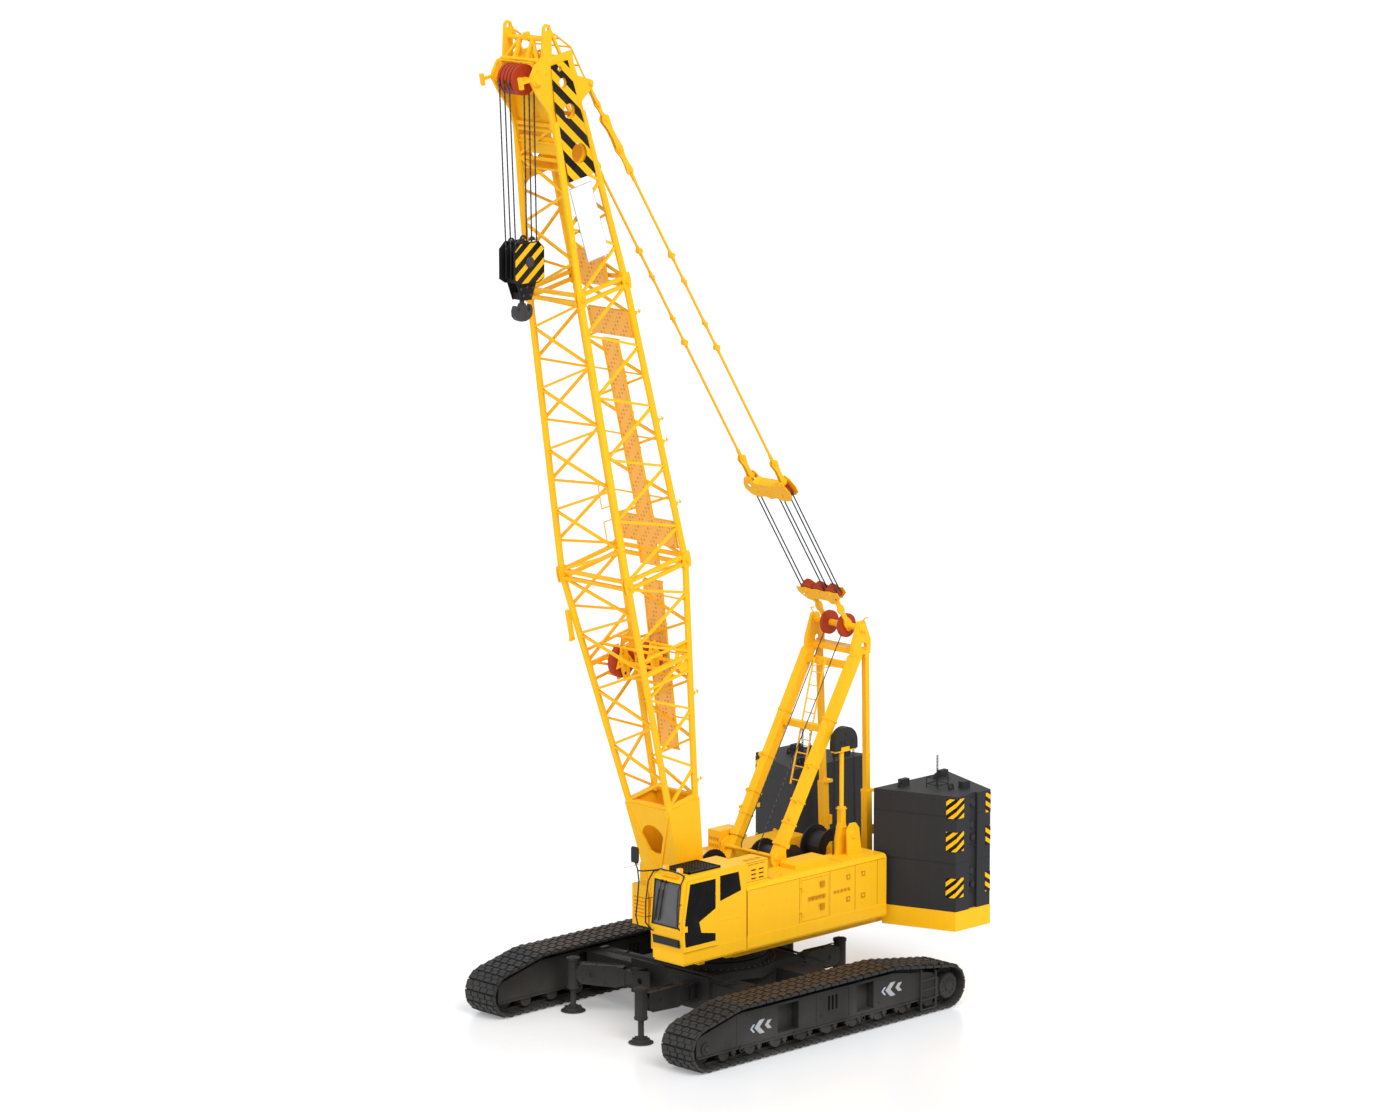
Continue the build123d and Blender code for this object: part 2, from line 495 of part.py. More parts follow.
glass = [slab_xz(WIN_RIGHT, CAB_Y0 + 15, CAB_Y0 + 15 + GLASS_T),
         slab_xz(WIN_LEFT, CAB_Y1 - 15 - GLASS_T, CAB_Y1 - 15),
         pane(SILL_Z, SCREEN_Z1), pane(STRIP_Z0, STRIP_Z1)]
out("cab_glass", glass)
# the leaf hangs just outside the wall so that it can slide back
leaf_y = CAB_Y1 + DOOR_CLEAR
leaf = slab_xz(doorway(-18), leaf_y, leaf_y + LEAF_T)
# one window with a narrow part round the latch
x0, x1 = DOOR_X0 + 50, DOOR_X1 - 30
WIN_DOOR = [(x1 - 20, 2090), (x1, 2300), (x1, 2580), (x1 - 150, 3400), (x0, 3400), (x0, 2770),
            (x0 + 470, 2560), (x0 + 410, 2330), (x0, 2250), (x0, 2090)]
leaf -= slab_xz(WIN_DOOR, CAB_Y1, leaf_y + LEAF_T + 5)
out("cab_door", leaf)
out("cab_door_glass", slab_xz(WIN_DOOR, leaf_y + 12, leaf_y + 12 + GLASS_T))

# ================= ballast =================
def wing(sy, z0, z1, grow=0):
    pts = [(SLAB_XF + grow, sy * SLAB_Y0), (SLAB_XO + grow, sy * (SLAB_Y1 + grow)),
           (SLAB_XR - grow, sy * (SLAB_Y1 + grow)), (SLAB_XT - grow, sy * SLAB_Y0)]
    return slab_xy(pts, z0, z1)


tray = box(SLAB_XT, LINK_FOOT[0] - 160, -SLAB_Y0 - 10, SLAB_Y0 + 10, TRAY_Z0, TRAY_Z1)
tray = tray.fuse(wing(1, TRAY_Z0, TRAY_Z1, 10), wing(-1, TRAY_Z0, TRAY_Z1, 10))
tray -= box(DECK_X0 - .3, 0, -SLAB_Y0 - 200, SLAB_Y0 + 200, 1000, TRAY_Z1 + 5)
out("ballast_tray", tray)
groove_x = (SLAB_XO + SLAB_XR) / 2
for i, (z0, z1) in enumerate(zip(SLAB_Z, SLAB_Z[1:])):
    pair = []
    for sy in (1, -1):
        one = wing(sy, z0, z1)
        y0, y1 = sorted((sy * (SLAB_Y1 - GROOVE_D), sy * (SLAB_Y1 + 5)))
        one -= box(groove_x - GROOVE_W / 2, groove_x + GROOVE_W / 2, y0, y1, z0 - 5, z1 + 5)
        y0, y1 = sorted((sy * (SLAB_Y1 - GROOVE_D - 5), sy * (SLAB_Y1 - 5)))
        adds = [rod_y(groove_x, (z0 + z1) / 2, 60, y0, y1, SIDES)]
        if i == 2:
            for x, y in ((-4150, 1450), (-4900, 2500), (-5350, 1450)):
                adds.append(box(x - LUG_W / 2, x + LUG_W / 2, sy * y - 60, sy * y + 60, z1 - 10, z1 + LUG_H))
        pair.append(join(one, adds))
    out("ballast_slab_%d" % (i + 1), pair)

# ================= gantry =================
def strut(foot, top, size, z1=GANTRY_CUT_Z, extra=220):
    """A pair of members, trimmed level at both ends."""
    pair = []
    for sy in (-1, 1):
        a = Vector(foot[0], sy * LEG_Y_FOOT, foot[1])
        b = Vector(top[0], sy * LEG_Y_TOP, top[1])
        pair.append(bar(tuple(a), tuple(b), size, extend=extra) &
                    box(-6000, 3000, -2000, 2000, foot[1], z1))
    return pair


def along(foot, top, f):
    return foot[0] + (top[0] - foot[0]) * f, foot[1] + (top[1] - foot[1]) * f


legs = strut(LEG_FOOT, LEG_TOP, LEG_S)
for f in (0.70, 0.93):
    x, z = along(LEG_FOOT, LEG_TOP, f)
    legs.append(box(x - 70, x + 70, -LEG_Y_TOP, LEG_Y_TOP, z - 70, z + 70))
out("gantry_legs", join(legs[0], legs[1:]))
links = strut(LINK_FOOT, LINK_TOP, LINK_S) + strut(LINK_FOOT, LINK_TOP, SLEEVE_S, SLEEVE_Z1)
links.append(box(LINK_FOOT[0] - 60, LINK_FOOT[0] + 60, -LEG_Y_FOOT, LEG_Y_FOOT, 2350, 2470))
out("gantry_links", join(links[0], links[1:]))

# direction from the gantry head to the pendant lug
ca, sa = math.cos(math.radians(BOOM_DEG)), math.sin(math.radians(BOOM_DEG))


def on_boom(t, c, y=0.0):
    """A point t along the boom and c ahead of its centre line."""
    return (FOOT_X + t * ca + c * sa, y, FOOT_Z + t * sa - c * ca)


lug = on_boom(LUG_T, LUG_C)
LD = math.hypot(lug[0] - GANTRY_HEAD_X, lug[2] - GANTRY_HEAD_Z)
lx, lz = (lug[0] - GANTRY_HEAD_X) / LD, (lug[2] - GANTRY_HEAD_Z) / LD
LUFF_DEG = math.degrees(math.atan2(lz, lx))


def on_line(d, up=0.0, y=0.0):
    """A point d from the gantry head towards the lug, and up from that line."""
    return (GANTRY_HEAD_X + lx * d - lz * up, y, GANTRY_HEAD_Z + lz * d + lx * up)


head = []
z0 = GANTRY_CUT_Z + SEAT
for y0, y1 in both(LEG_Y_TOP - 45, LEG_Y_TOP + 45):
    cheek = slab_xz([(LEG_TOP[0] + 230, z0), (LINK_TOP[0] - 110, z0),
                     (LINK_TOP[0] - 120, z0 + 300), (GANTRY_HEAD_X - 80, GANTRY_HEAD_Z + 150),
                     (GANTRY_HEAD_X + 90, GANTRY_HEAD_Z + 150), (LEG_TOP[0] + 200, z0 + 250)], y0, y1)
    head.append(cheek - rod_y(LEG_TOP[0] - 120, z0 + 170, 90, y0 - 5, y1 + 5, SIDES))
head.append(rod_y(GANTRY_HEAD_X, GANTRY_HEAD_Z, HEAD_PIN_R, -LEG_Y_TOP, LEG_Y_TOP))
head.append(box(LINK_TOP[0] - 60, LEG_TOP[0] + 60, -LEG_Y_TOP, LEG_Y_TOP, z0, z0 + 120))
for y0, y1 in both(HEAD_SHEAVE_Y - HEAD_SHEAVE_W / 2, HEAD_SHEAVE_Y + HEAD_SHEAVE_W / 2):
    head.append(rod_y(GANTRY_HEAD_X, GANTRY_HEAD_Z, HEAD_SHEAVE_R, y0, y1, 20))
out("gantry_head", join(head[0], head[1:]))

# ================= winches =================
for tag, x, z, r, hw in WINCHES:
    drum = rod_y(x, z, r * .72, -hw, hw, 20)
    for y0, y1 in both(hw - 40, hw):
        drum = drum.fuse(rod_y(x, z, r, y0, y1, 24))
    drum -= rod_y(x, z, DRUM_PIN_R + PIN_GAP, -hw - 5, hw + 5)
    out("winch_" + tag, drum)
    for y0, y1 in both(hw + 10, hw + 60):
        deck_parts.append(slab_xz([(x - 330, DECK_Z1), (x + 330, DECK_Z1), (x + 180, z + 60),
                                   (x + 90, z + 160), (x - 90, z + 160), (x - 180, z + 60)], y0, y1))
    deck_parts.append(rod_y(x, z, DRUM_PIN_R, -hw - 20, hw + 20))
out("turntable_deck", join(deck, deck_parts))

# ================= boom =================
def sect(t):
    """Width and depth between chord centres, t along the boom."""
    for (t0, w0, d0), (t1, w1, d1) in zip(SECTIONS, SECTIONS[1:]):
        if t <= t1:
            f = (t - t0) / (t1 - t0)
            return w0 + (w1 - w0) * f, d0 + (d1 - d0) * f
    return SECTIONS[-1][1:]


def corner(t, sy, sf):
    """Local point of a chord: sy picks the side, sf the front or the rear."""
    wd, dp = sect(t)
    return sf * dp / 2, sy * wd / 2, t


CH = ((1, 1), (1, -1), (-1, -1), (-1, 1))       # side, face, going round


def lattice(t0, t1, bays):
    """Four chords, end frames, and zigzag lacing whose joints alternate from face to face."""
    chords = [bar(corner(t0, *k), corner(t1, *k), CHORD_R * 2, 8, 40) for k in CH]
    lace = []
    step = (t1 - t0 - 2 * END_T) / bays
    for i in range(bays):
        ta, tb = t0 + END_T + i * step, t0 + END_T + (i + 1) * step
        for j in range(4):
            a, b = CH[j], CH[(j + 1) % 4]
            if i % 2:
                a, b = b, a
            lace.append(bar(corner(ta, *a), corner(tb, *b), LACE_S))
    for t in (t0 + END_T, t1 - END_T):
        for j in range(4):
            lace.append(bar(corner(t, *CH[j]), corner(t, *CH[(j + 1) % 4]), FRAME_S))
    section = join(chords[0], chords[1:] + lace)
    return section & Pos(0, 0, (t0 + t1) / 2) * Box(4000, 4000, t1 - t0 - SEAT)


place = Pos(FOOT_X, 0, FOOT_Z) * Rot(0, 90 - BOOM_DEG, 0)
w0, d0 = SECTIONS[0][1:]
w1, d1 = SECTIONS[1][1:]
PLATE = 30                              # skin of the foot box
T_SOLE = 380
HOLE_T, HOLE_R = 2100, 330              # hole in its front plate
RIB_T, RIB_S = 1350, 60                 # where the diagonal ribs meet


def skin(t0, t1, k):
    """A straight tapering block, drawn in by k all round."""
    ends = [Pos(0, 0, t) * Rectangle(d - 2 * k, w - 2 * k)
            for t, d, w in ((t0, d0 + 196, w0), (t1, d1 + 136, w1 + 136))]
    return loft(ends, ruled=True)


foot_box = skin(T_SOLE, BOX_T, 0) - skin(T_SOLE + 250, BOX_T + 1, PLATE)
foot_box -= Pos(300, 0, HOLE_T) * Rot(0, 90, 0) * extrude(RegularPolygon(HOLE_R, 20), 400, both=True)


def on_front(t, f):
    """A point on the front plate, f of its width from the centre line."""
    k = (t - T_SOLE) / (BOX_T - T_SOLE)
    return (d0 + 196 + (d1 - d0 - 60) * k) / 2, (w0 + (w1 + 136 - w0) * k) / 2 * f, t


ribs = [bar(on_front(RIB_T, 0), on_front(t, f), RIB_S) for f in (-.92, .92) for t in (BOX_T - 120, T_SOLE + 400)]
foot_box = foot_box.fuse(*[bar(on_front(RIB_T - 700, f), on_front(RIB_T, f), RIB_S) for f in (-.92, .92)], *ribs)
feet = []
for y0, y1 in both(w0 / 2 - 110, w0 / 2):
    cheek = slab_xz([(-150, T_SOLE), (-150, 0), (-106, -106), (0, -150), (106, -106), (150, 0), (150, T_SOLE)],
                    y0, y1)
    feet.append(cheek - rod_y(0, 0, FOOT_PIN_R + PIN_GAP, y0 - 5, y1 + 5))
base = lattice(BOX_T - 40, T_BASE, BAYS[0])
half = sect(GUIDE_T)[0] / 2
for side in (1, -1):
    feet.append(bar(corner(GUIDE_T, side, 1), corner(GUIDE_T, side, -1), LACE_S * 1.6))
for c, y in GUIDES:
    feet.append(rod_y(c, GUIDE_T, GUIDE_PIN_R, -half, half, SIDES))
    for ya, yb in ((y - GUIDE_W / 2 - 45, y - GUIDE_W / 2 - 20), (y + GUIDE_W / 2 + 20, y + GUIDE_W / 2 + 45)):
        cover = slab_xz([(c - 250, GUIDE_T - 70), (c + 250, GUIDE_T - 70), (c + 60, GUIDE_T + 260),
                         (c - 60, GUIDE_T + 260)], ya, yb)
        for dc, dt in ((-110, 10), (110, 10), (0, 150)):
            cover -= rod_y(c + dc, GUIDE_T + dt, 45, ya - 5, yb + 5, 8)
        feet.append(cover)
out("boom_base", place * base.fuse(foot_box, *feet))
out("boom_insert", place * lattice(T_BASE, T_TOP, BAYS[1]))

# the head: two side plates drawn out into ears above and a lug behind
top = lattice(T_TOP, T_HEAD, BAYS[2])
HEAD_OUTLINE = (
    # ahead of the centre line, along the boom
    (-470, T_PLATE), (-410, 17500), (-400, 17800), (LUG_C - 60, LUG_T - 90),
    (LUG_C - 70, LUG_T + 40), (LUG_C + 20, LUG_T + 90), (-400, 18330), (-350, 18620),
    (-350, 18860), (190, 18880), (EAR_C - 105, EAR_T - 60), (EAR_C - 85, EAR_T + 65),
    (EAR_C, EAR_T + 110), (EAR_C + 85, EAR_T + 65), (EAR_C + 115, EAR_T - 40),
    (450, 18900), (640, 18840), (SHEAVE_C + 120, SHEAVE_T + 130), (SHEAVE_C + 145, SHEAVE_T),
    (SHEAVE_C + 40, 18230), (500, 17800), (460, 17380), (450, T_PLATE))
# ahead, along, radius
HEAD_HOLES = ((60, 18600, 50), (40, 18306, 100), (0, 17720, 150), (-48, 16837, 200))
parts = []
for y0, y1 in both(PLATE_Y - PLATE_T / 2, PLATE_Y + PLATE_T / 2):
    pl = slab_xz(HEAD_OUTLINE, y0, y1) - rod_y(EAR_C, EAR_T, EAR_BORE_R, y0 - 5, y1 + 5)
    for c, t, r in HEAD_HOLES:
        pl -= rod_y(c, t, r, y0 - 5, y1 + 5, 16)
    pl -= rod_y(LUG_C, LUG_T, 34, y0 - 5, y1 + 5, 8)
    parts.append(pl)
    # stay behind the ear, boss of the sheave pin, bracket with a cross end
    ym = (y0 + y1) / 2
    parts.append(bar((EAR_C - 90, ym, EAR_T - 60), (-60, ym, 18860), 56))
    parts.append(rod_y(SHEAVE_C, SHEAVE_T, 95, y0 - 25, y1 + 25, SIDES))
    parts.append(bar((SHEAVE_C + 60, ym, SHEAVE_T + 60), (1090, ym, 18590), 60))
    parts.append(box(1050, 1115, ym - 40, ym + 40, 18470, 18710))
inner_y = PLATE_Y - PLATE_T / 2 + 5
parts.append(rod_y(SHEAVE_C, SHEAVE_T, SHEAVE_PIN_R, -inner_y, inner_y, SIDES))
# ties between the plates: ahead, along, thickness; the lower one clears the sheaves
TIE_S, TIE_GAP, TIE_ANG = 95, 33, math.radians(119.8)
reach = SHEAVE_R + TIE_GAP + TIE_S / 2
LOW_TIE = (SHEAVE_C + reach * math.cos(TIE_ANG), SHEAVE_T + reach * math.sin(TIE_ANG))
HIGH_TIE = (239, 19241)
for c, t, size in ((*HIGH_TIE, TIE_S), (*LOW_TIE, TIE_S), (390, 17400, 80), (400, 16800, 80), (-330, 18700, 80)):
    parts.append(rod_y(c, t, size / 2, -inner_y, inner_y, 8))
for y in (-180, 180):                   # struts between the two upper ties
    for spread, size in ((1, 70), (2.6, 50)):
        parts.append(bar((HIGH_TIE[0], y, HIGH_TIE[1]), (LOW_TIE[0], spread * y, LOW_TIE[1]), size))
parts.append(slab_xz([(170, 19200), (300, 19200), (290, 19360), (180, 19360)], -40, 40))
# plates across the front, the upper one with a three-cornered window
cross = box(300, 332, -inner_y, inner_y, 17450, 18080)
window = make_face(Plane.YZ * Polyline((-120, 17640), (120, 17640), (0, 17900), close=True))
cross -= Pos(250, 0, 0) * extrude(window, 150, dir=(1, 0, 0))
parts += [cross, box(360, 390, -inner_y, inner_y, 16900, 17260),
          box(-360, -330, -inner_y, inner_y, T_PLATE, 16900)]
top = top.fuse(*parts)
out("boom_top", place * top)
head_pin = on_boom(SHEAVE_T, SHEAVE_C)
sheaves = []
for i in range(SHEAVE_N):
    y = SHEAVE_PITCH * (i - (SHEAVE_N - 1) / 2)
    y0, y1 = y - SHEAVE_W / 2, y + SHEAVE_W / 2
    sheaves.append(rod_y(head_pin[0], head_pin[2], SHEAVE_R, y0, y1, 20) -
                   place * rod_y(SHEAVE_C, SHEAVE_T, SHEAVE_PIN_R + SEAT, y0 - 5, y1 + 5, SIDES))
out("head_sheaves", sheaves)
guides = []
for c, y in GUIDES:
    y0, y1 = y - GUIDE_W / 2, y + GUIDE_W / 2
    guides.append(rod_y(c, GUIDE_T, GUIDE_R, y0, y1, 20) -
                  rod_y(c, GUIDE_T, GUIDE_PIN_R + SEAT, y0 - 5, y1 + 5, SIDES))
out("guide_sheaves", [place * k for k in guides])

# ================= luffing tackle =================
FLAT = math.cos(math.pi / 20)           # flat radius of a 20-sided sheave


def at_line(d):
    """Local frame of the tackle: X along the line, Z up from it."""
    return Pos(*on_line(d)) * Rot(0, -LUFF_DEG, 0)


def spreader(long, high, y_half, bulge):
    """Two shaped cheeks, a cross bar and three sheaves."""
    bits = [box(-60, 60, -y_half, y_half, -60, 60)]
    for y0, y1 in both(y_half - 25, y_half + 25):
        bits.append(slab_xz([(-long / 2, -high / 2), (-long / 4, -high / 2 - bulge), (long / 4, -high / 2 - bulge),
                             (long / 2, -high / 2), (long / 2, high / 2), (long / 4, high / 2 + bulge),
                             (-long / 4, high / 2 + bulge), (-long / 2, high / 2)], y0, y1))
    for y in ROPE_Y:
        bits.append(rod_y(0, 0, SPREAD_R, y - 40, y + 40, 20))
    return bits


bits = spreader(520, 200, 420, 40)
for y0, y1 in both(300, 345):
    cheek = box(-LOW_D - 120, 60, y0, y1, -100, 100)
    bits.append(cheek - rod_y(-LOW_D, 0, HEAD_PIN_R + PIN_GAP, y0 - 5, y1 + 5))
out("lower_spreader", at_line(LOW_D) * join(bits[0], bits[1:]))
bits = spreader(620, 220, 420, 20)
out("upper_spreader", at_line(UP_D) * join(bits[0], bits[1:]))
ropes = []
off = SPREAD_R * FLAT + ROPE_R + SEAT
for y in ROPE_Y:
    for dz in (-off, off):
        ropes.append(bar(on_line(LOW_D, dz, y), on_line(UP_D, dz, y), ROPE_R * 2, 6))
out("luffing_ropes", ropes)
pend = []
for y0, y1 in both(445 + SEAT, 505):
    y = (y0 + y1) / 2
    line = bar(on_line(UP_D + 200, 0, y), on_line(LD - 60, 0, y), 56, 8)
    links = []
    for d, ln in LINKS + ((LD - 150, 420),):
        links.append(at_line(d) * slab_xz([(-ln / 2, -60), (-ln / 2 + 60, -80), (-40, -45), (40, -45),
                                           (ln / 2 - 60, -80), (ln / 2, -60), (ln / 2, 60), (ln / 2 - 60, 80),
                                           (40, 45), (-40, 45), (-ln / 2 + 60, 80), (-ln / 2, 60)], y0, y1))
    pend.append(join(line, links))
out("pendants", pend)

# ================= hoist =================
hx, block_x = head_pin[0], head_pin[0] - BLOCK_BACK
block_z = HOOK_TOP_Z - 400              # axis of the block's sheaves
falls = []
for side in (-1, 1):
    out_low = BLOCK_R * FLAT + ROPE_R + SEAT
    out_top = SHEAVE_R * FLAT + ROPE_R + SEAT
    # the falls lean, so each keeps its gap at the end of the sheave's flat
    lean = side * (BLOCK_BACK + side * (out_top - out_low)) / (head_pin[2] - block_z)
    out_top += max(0, lean) * SHEAVE_R * math.sin(math.pi / 20)
    out_low += max(0, -lean) * BLOCK_R * math.sin(math.pi / 20)
    for y in FALL_Y:
        falls.append(bar((block_x + side * out_low, y, block_z),
                         (hx + side * out_top, y, head_pin[2]), ROPE_R * 2, 6))
out("hoist_falls", falls)
zt = HOOK_TOP_Z
blk = []
for y0, y1 in both(BLOCK_W / 2 - 30, BLOCK_W / 2):
    blk.append(slab_xz([(block_x - 250, zt), (block_x + 250, zt), (block_x + 400, zt - 140),
                        (block_x + 400, zt - BLOCK_H + 90), (block_x + 250, zt - BLOCK_H),
                        (block_x - 250, zt - BLOCK_H), (block_x - 400, zt - BLOCK_H + 90),
                        (block_x - 400, zt - 140)], y0, y1))
    blk.append(slab_xz([(block_x - 270, zt - BLOCK_H + 20), (block_x + 270, zt - BLOCK_H + 20),
                        (block_x + 130, zt - BLOCK_H - YOKE_H), (block_x - 130, zt - BLOCK_H - YOKE_H)],
                       *sorted((y0 * .62, y1 * .62))))
blk.append(rod_y(block_x, block_z, 90, -BLOCK_W / 2 - 25, BLOCK_W / 2 + 25, SIDES))
for y in FALL_Y:
    blk.append(rod_y(block_x, block_z, BLOCK_R, y - 30, y + 30, 20))
for y in (-72, 72):                     # plates between the sheaves
    blk.append(slab_xz([(block_x - 230, zt - 20), (block_x + 230, zt - 20), (block_x + 360, zt - 160),
                        (block_x + 360, zt - BLOCK_H + 100), (block_x - 360, zt - BLOCK_H + 100),
                        (block_x - 360, zt - 160)], y - 10, y + 10))
blk.append(box(block_x - 230, block_x + 230, -BLOCK_W / 2 + 5, BLOCK_W / 2 - 5, zt - BLOCK_H + 5, zt - BLOCK_H + 85))
zh = zt - BLOCK_H - YOKE_H
blk.append(box(block_x - 125, block_x + 125, -160, 160, zh + 10, zh + 150))
out("hook_block", join(blk[0], blk[1:]))
# half of the double hook: the point, the throat and the shank, from the centre line
HALF_HOOK = ((50, -70), (82, -140), (94, -215), (132, -258), (172, -222), (170, -158), (188, -105),
             (216, -128), (246, -215), (232, -325), (160, -398), (64, -432))
left = [(-x, z) for x, z in HALF_HOOK]
outline = [(block_x + x, zh + z) for x, z in left + list(reversed(HALF_HOOK))]
shank = rod_z(block_x, 0, 50, zh - 120, zh + 10 - SEAT)
out("hook", shank.fuse(slab_xz(outline, -55, 55)))
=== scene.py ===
import json
import math

import bmesh
import bpy
from mathutils import Matrix, Vector


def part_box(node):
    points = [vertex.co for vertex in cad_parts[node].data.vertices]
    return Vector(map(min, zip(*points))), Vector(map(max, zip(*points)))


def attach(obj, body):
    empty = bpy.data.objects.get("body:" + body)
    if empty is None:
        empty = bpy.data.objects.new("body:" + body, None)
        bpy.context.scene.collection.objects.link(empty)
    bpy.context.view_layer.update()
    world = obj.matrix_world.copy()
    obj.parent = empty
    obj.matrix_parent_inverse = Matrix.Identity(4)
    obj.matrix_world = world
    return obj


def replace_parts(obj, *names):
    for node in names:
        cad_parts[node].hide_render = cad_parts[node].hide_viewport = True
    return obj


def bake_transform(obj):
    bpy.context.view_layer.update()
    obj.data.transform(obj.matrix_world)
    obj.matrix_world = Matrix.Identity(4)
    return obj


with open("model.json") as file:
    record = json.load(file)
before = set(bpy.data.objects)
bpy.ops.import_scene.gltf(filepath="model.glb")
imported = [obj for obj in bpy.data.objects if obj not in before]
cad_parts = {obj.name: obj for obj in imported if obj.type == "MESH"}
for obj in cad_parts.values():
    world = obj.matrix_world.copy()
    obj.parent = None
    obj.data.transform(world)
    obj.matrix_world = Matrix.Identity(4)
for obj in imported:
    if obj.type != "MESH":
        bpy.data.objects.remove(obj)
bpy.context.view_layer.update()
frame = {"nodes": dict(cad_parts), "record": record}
nodes = frame["nodes"]
joint = {j["name"]: j for j in frame["record"]["behaviour"]["joints"]}
SIDES = (-1, 1)


# ================= node trees =================
class Tree:
    """Short hands for building a node tree."""

    def __init__(self, tree):
        self.t = tree

    def put(self, node, key, value):
        """Links a socket to one of a node's inputs, or sets that input's value."""
        if isinstance(value, bpy.types.NodeSocket):
            self.t.links.new(value, node.inputs[key])
        else:
            node.inputs[key].default_value = value

    def add(self, kind, inputs=None, **props):
        node = self.t.nodes.new(kind)
        for key, value in props.items():
            setattr(node, key, value)
        for key, value in (inputs or {}).items():
            self.put(node, key, value)
        return node

    def math(self, op, a, b=0.5, clamp=False):
        return self.add("ShaderNodeMath", {0: a, 1: b}, operation=op, use_clamp=clamp).outputs[0]

    def ramp(self, fac, lo, hi, a=0.0, b=1.0):
        return self.add("ShaderNodeMapRange", {0: fac, 1: lo, 2: hi, 3: a, 4: b}).outputs[0]

    def mix(self, fac, a, b):
        a, b = (v if isinstance(v, bpy.types.NodeSocket) else (*v, 1.0) for v in (a, b))
        return self.add("ShaderNodeMix", {0: fac, 6: a, 7: b}, data_type="RGBA").outputs[2]

    def place(self, scale=(1, 1, 1), turn=(0, 0, 0)):
        """The point in the object's own space."""
        co = self.add("ShaderNodeTexCoord").outputs["Object"]
        return self.add("ShaderNodeMapping", {0: co, 2: turn, 3: scale}).outputs[0]

    def axes(self):
        return self.add("ShaderNodeSeparateXYZ", {0: self.place()}).outputs

    def noise(self, size, detail, scale=(1, 1, 1)):
        inputs = {"Vector": self.place(scale), "Scale": size, "Detail": detail}
        return self.add("ShaderNodeTexNoise", inputs).outputs[0]

    def bump(self, strength, distance, height):
        inputs = {"Strength": strength, "Distance": distance, "Height": height}
        return self.add("ShaderNodeBump", inputs).outputs[0]


def group(name, inputs, outputs):
    g = bpy.data.node_groups.new(name, "ShaderNodeTree")
    for label, default in inputs:
        s = g.interface.new_socket(label, in_out="INPUT", socket_type="NodeSocketFloat")
        s.default_value = default
    for label, kind in outputs:
        g.interface.new_socket(label, in_out="OUTPUT", socket_type=kind)
    t = Tree(g)
    return g, t, t.add("NodeGroupInput"), t.add("NodeGroupOutput")


def make_weather():
    """Soft blotches, downward streaks and dust that gathers low on the machine."""
    g, t, gi, go = group("weather", (("Streaks", 0.3), ("Dust", 0.4)),
                         (("Mask", "NodeSocketFloat"), ("Dust", "NodeSocketFloat")))
    blotch = t.noise(0.9, 6.0)
    streak = t.noise(2.2, 5.0, (6, 6, .35))
    mask = t.math("MULTIPLY", t.ramp(streak, .45, .75), gi.outputs["Streaks"])
    mask = t.math("ADD", mask, t.math("MULTIPLY", t.ramp(blotch, .4, .8), .25), True)
    low = t.math("MULTIPLY", t.ramp(t.axes()[2], 1.3, 0.0), t.ramp(blotch, .25, .7))
    t.put(go, "Mask", mask)
    t.put(go, "Dust", t.math("MULTIPLY", low, gi.outputs["Dust"], True))
    return g


def make_grain():
    """Fine unevenness of a sprayed or cast skin."""
    g, t, gi, go = group("grain", (("Size", 60.0), ("Depth", 0.1)),
                         (("Normal", "NodeSocketVector"), ("Value", "NodeSocketFloat")))
    uneven = t.noise(gi.outputs["Size"], 3.0)
    t.put(go, "Normal", t.bump(gi.outputs["Depth"], .004, uneven))
    t.put(go, "Value", uneven)
    return g


WEATHER, GRAIN = make_weather(), make_grain()
YELLOW, BLACK, DUST = (1.0, .53, .008), (.003, .003, .003), (.33, .30, .26)
HOLE_PITCH = .09
SCREEN_X, SCREEN_Z = 2.47, 2.40               # the windscreen, which gets the painted reflection, is ahead of and above these


def surface(name):
    m = bpy.data.materials.new(name)
    m.use_nodes = True
    return m, Tree(m.node_tree), m.node_tree.nodes["Principled BSDF"]


def dress(t, shader, inputs):
    for label, value in inputs.items():
        t.put(shader, label, value)


def paint(name, base, worn, rough, streaks, dust, grain, depth, metal=0.0, spec=.4):
    """A sprayed or cast finish that is worn in blotches and streaks and dusty low down."""
    m, t, p = surface(name)
    w = t.add("ShaderNodeGroup", {"Streaks": streaks, "Dust": dust}, node_tree=WEATHER).outputs
    g = t.add("ShaderNodeGroup", {"Size": grain, "Depth": depth}, node_tree=GRAIN).outputs
    uneven = t.ramp(g["Value"], 0, 1, rough - .05, rough + .08)
    dress(t, p, {"Base Color": t.mix(w["Dust"], t.mix(w["Mask"], base, worn), DUST),
                 "Roughness": t.math("ADD", t.math("MULTIPLY", w["Mask"], .2), uneven),
                 "Normal": g["Normal"], "Metallic": metal, "Specular IOR Level": spec})
    return m


def stripes(name, across, pitch, share):
    """Slanted black and yellow bands, spaced along a direction in space; share is the black part."""
    m, t, p = surface(name)
    away = t.add("ShaderNodeVectorMath", {0: t.place(), 1: Vector(across).normalized()},
                 operation="DOT_PRODUCT")
    saw = t.math("FRACT", t.math("MULTIPLY", away.outputs["Value"], 1 / pitch))
    w = t.add("ShaderNodeGroup", {"Streaks": .12, "Dust": .1}, node_tree=WEATHER).outputs
    colour = t.mix(t.math("GREATER_THAN", saw, share), BLACK, YELLOW)
    dress(t, p, {"Base Color": t.mix(w["Mask"], colour, (.12, .08, .02)),
                 "Roughness": t.ramp(w["Mask"], 0, 1, .4, .6), "Specular IOR Level": .12})
    return m


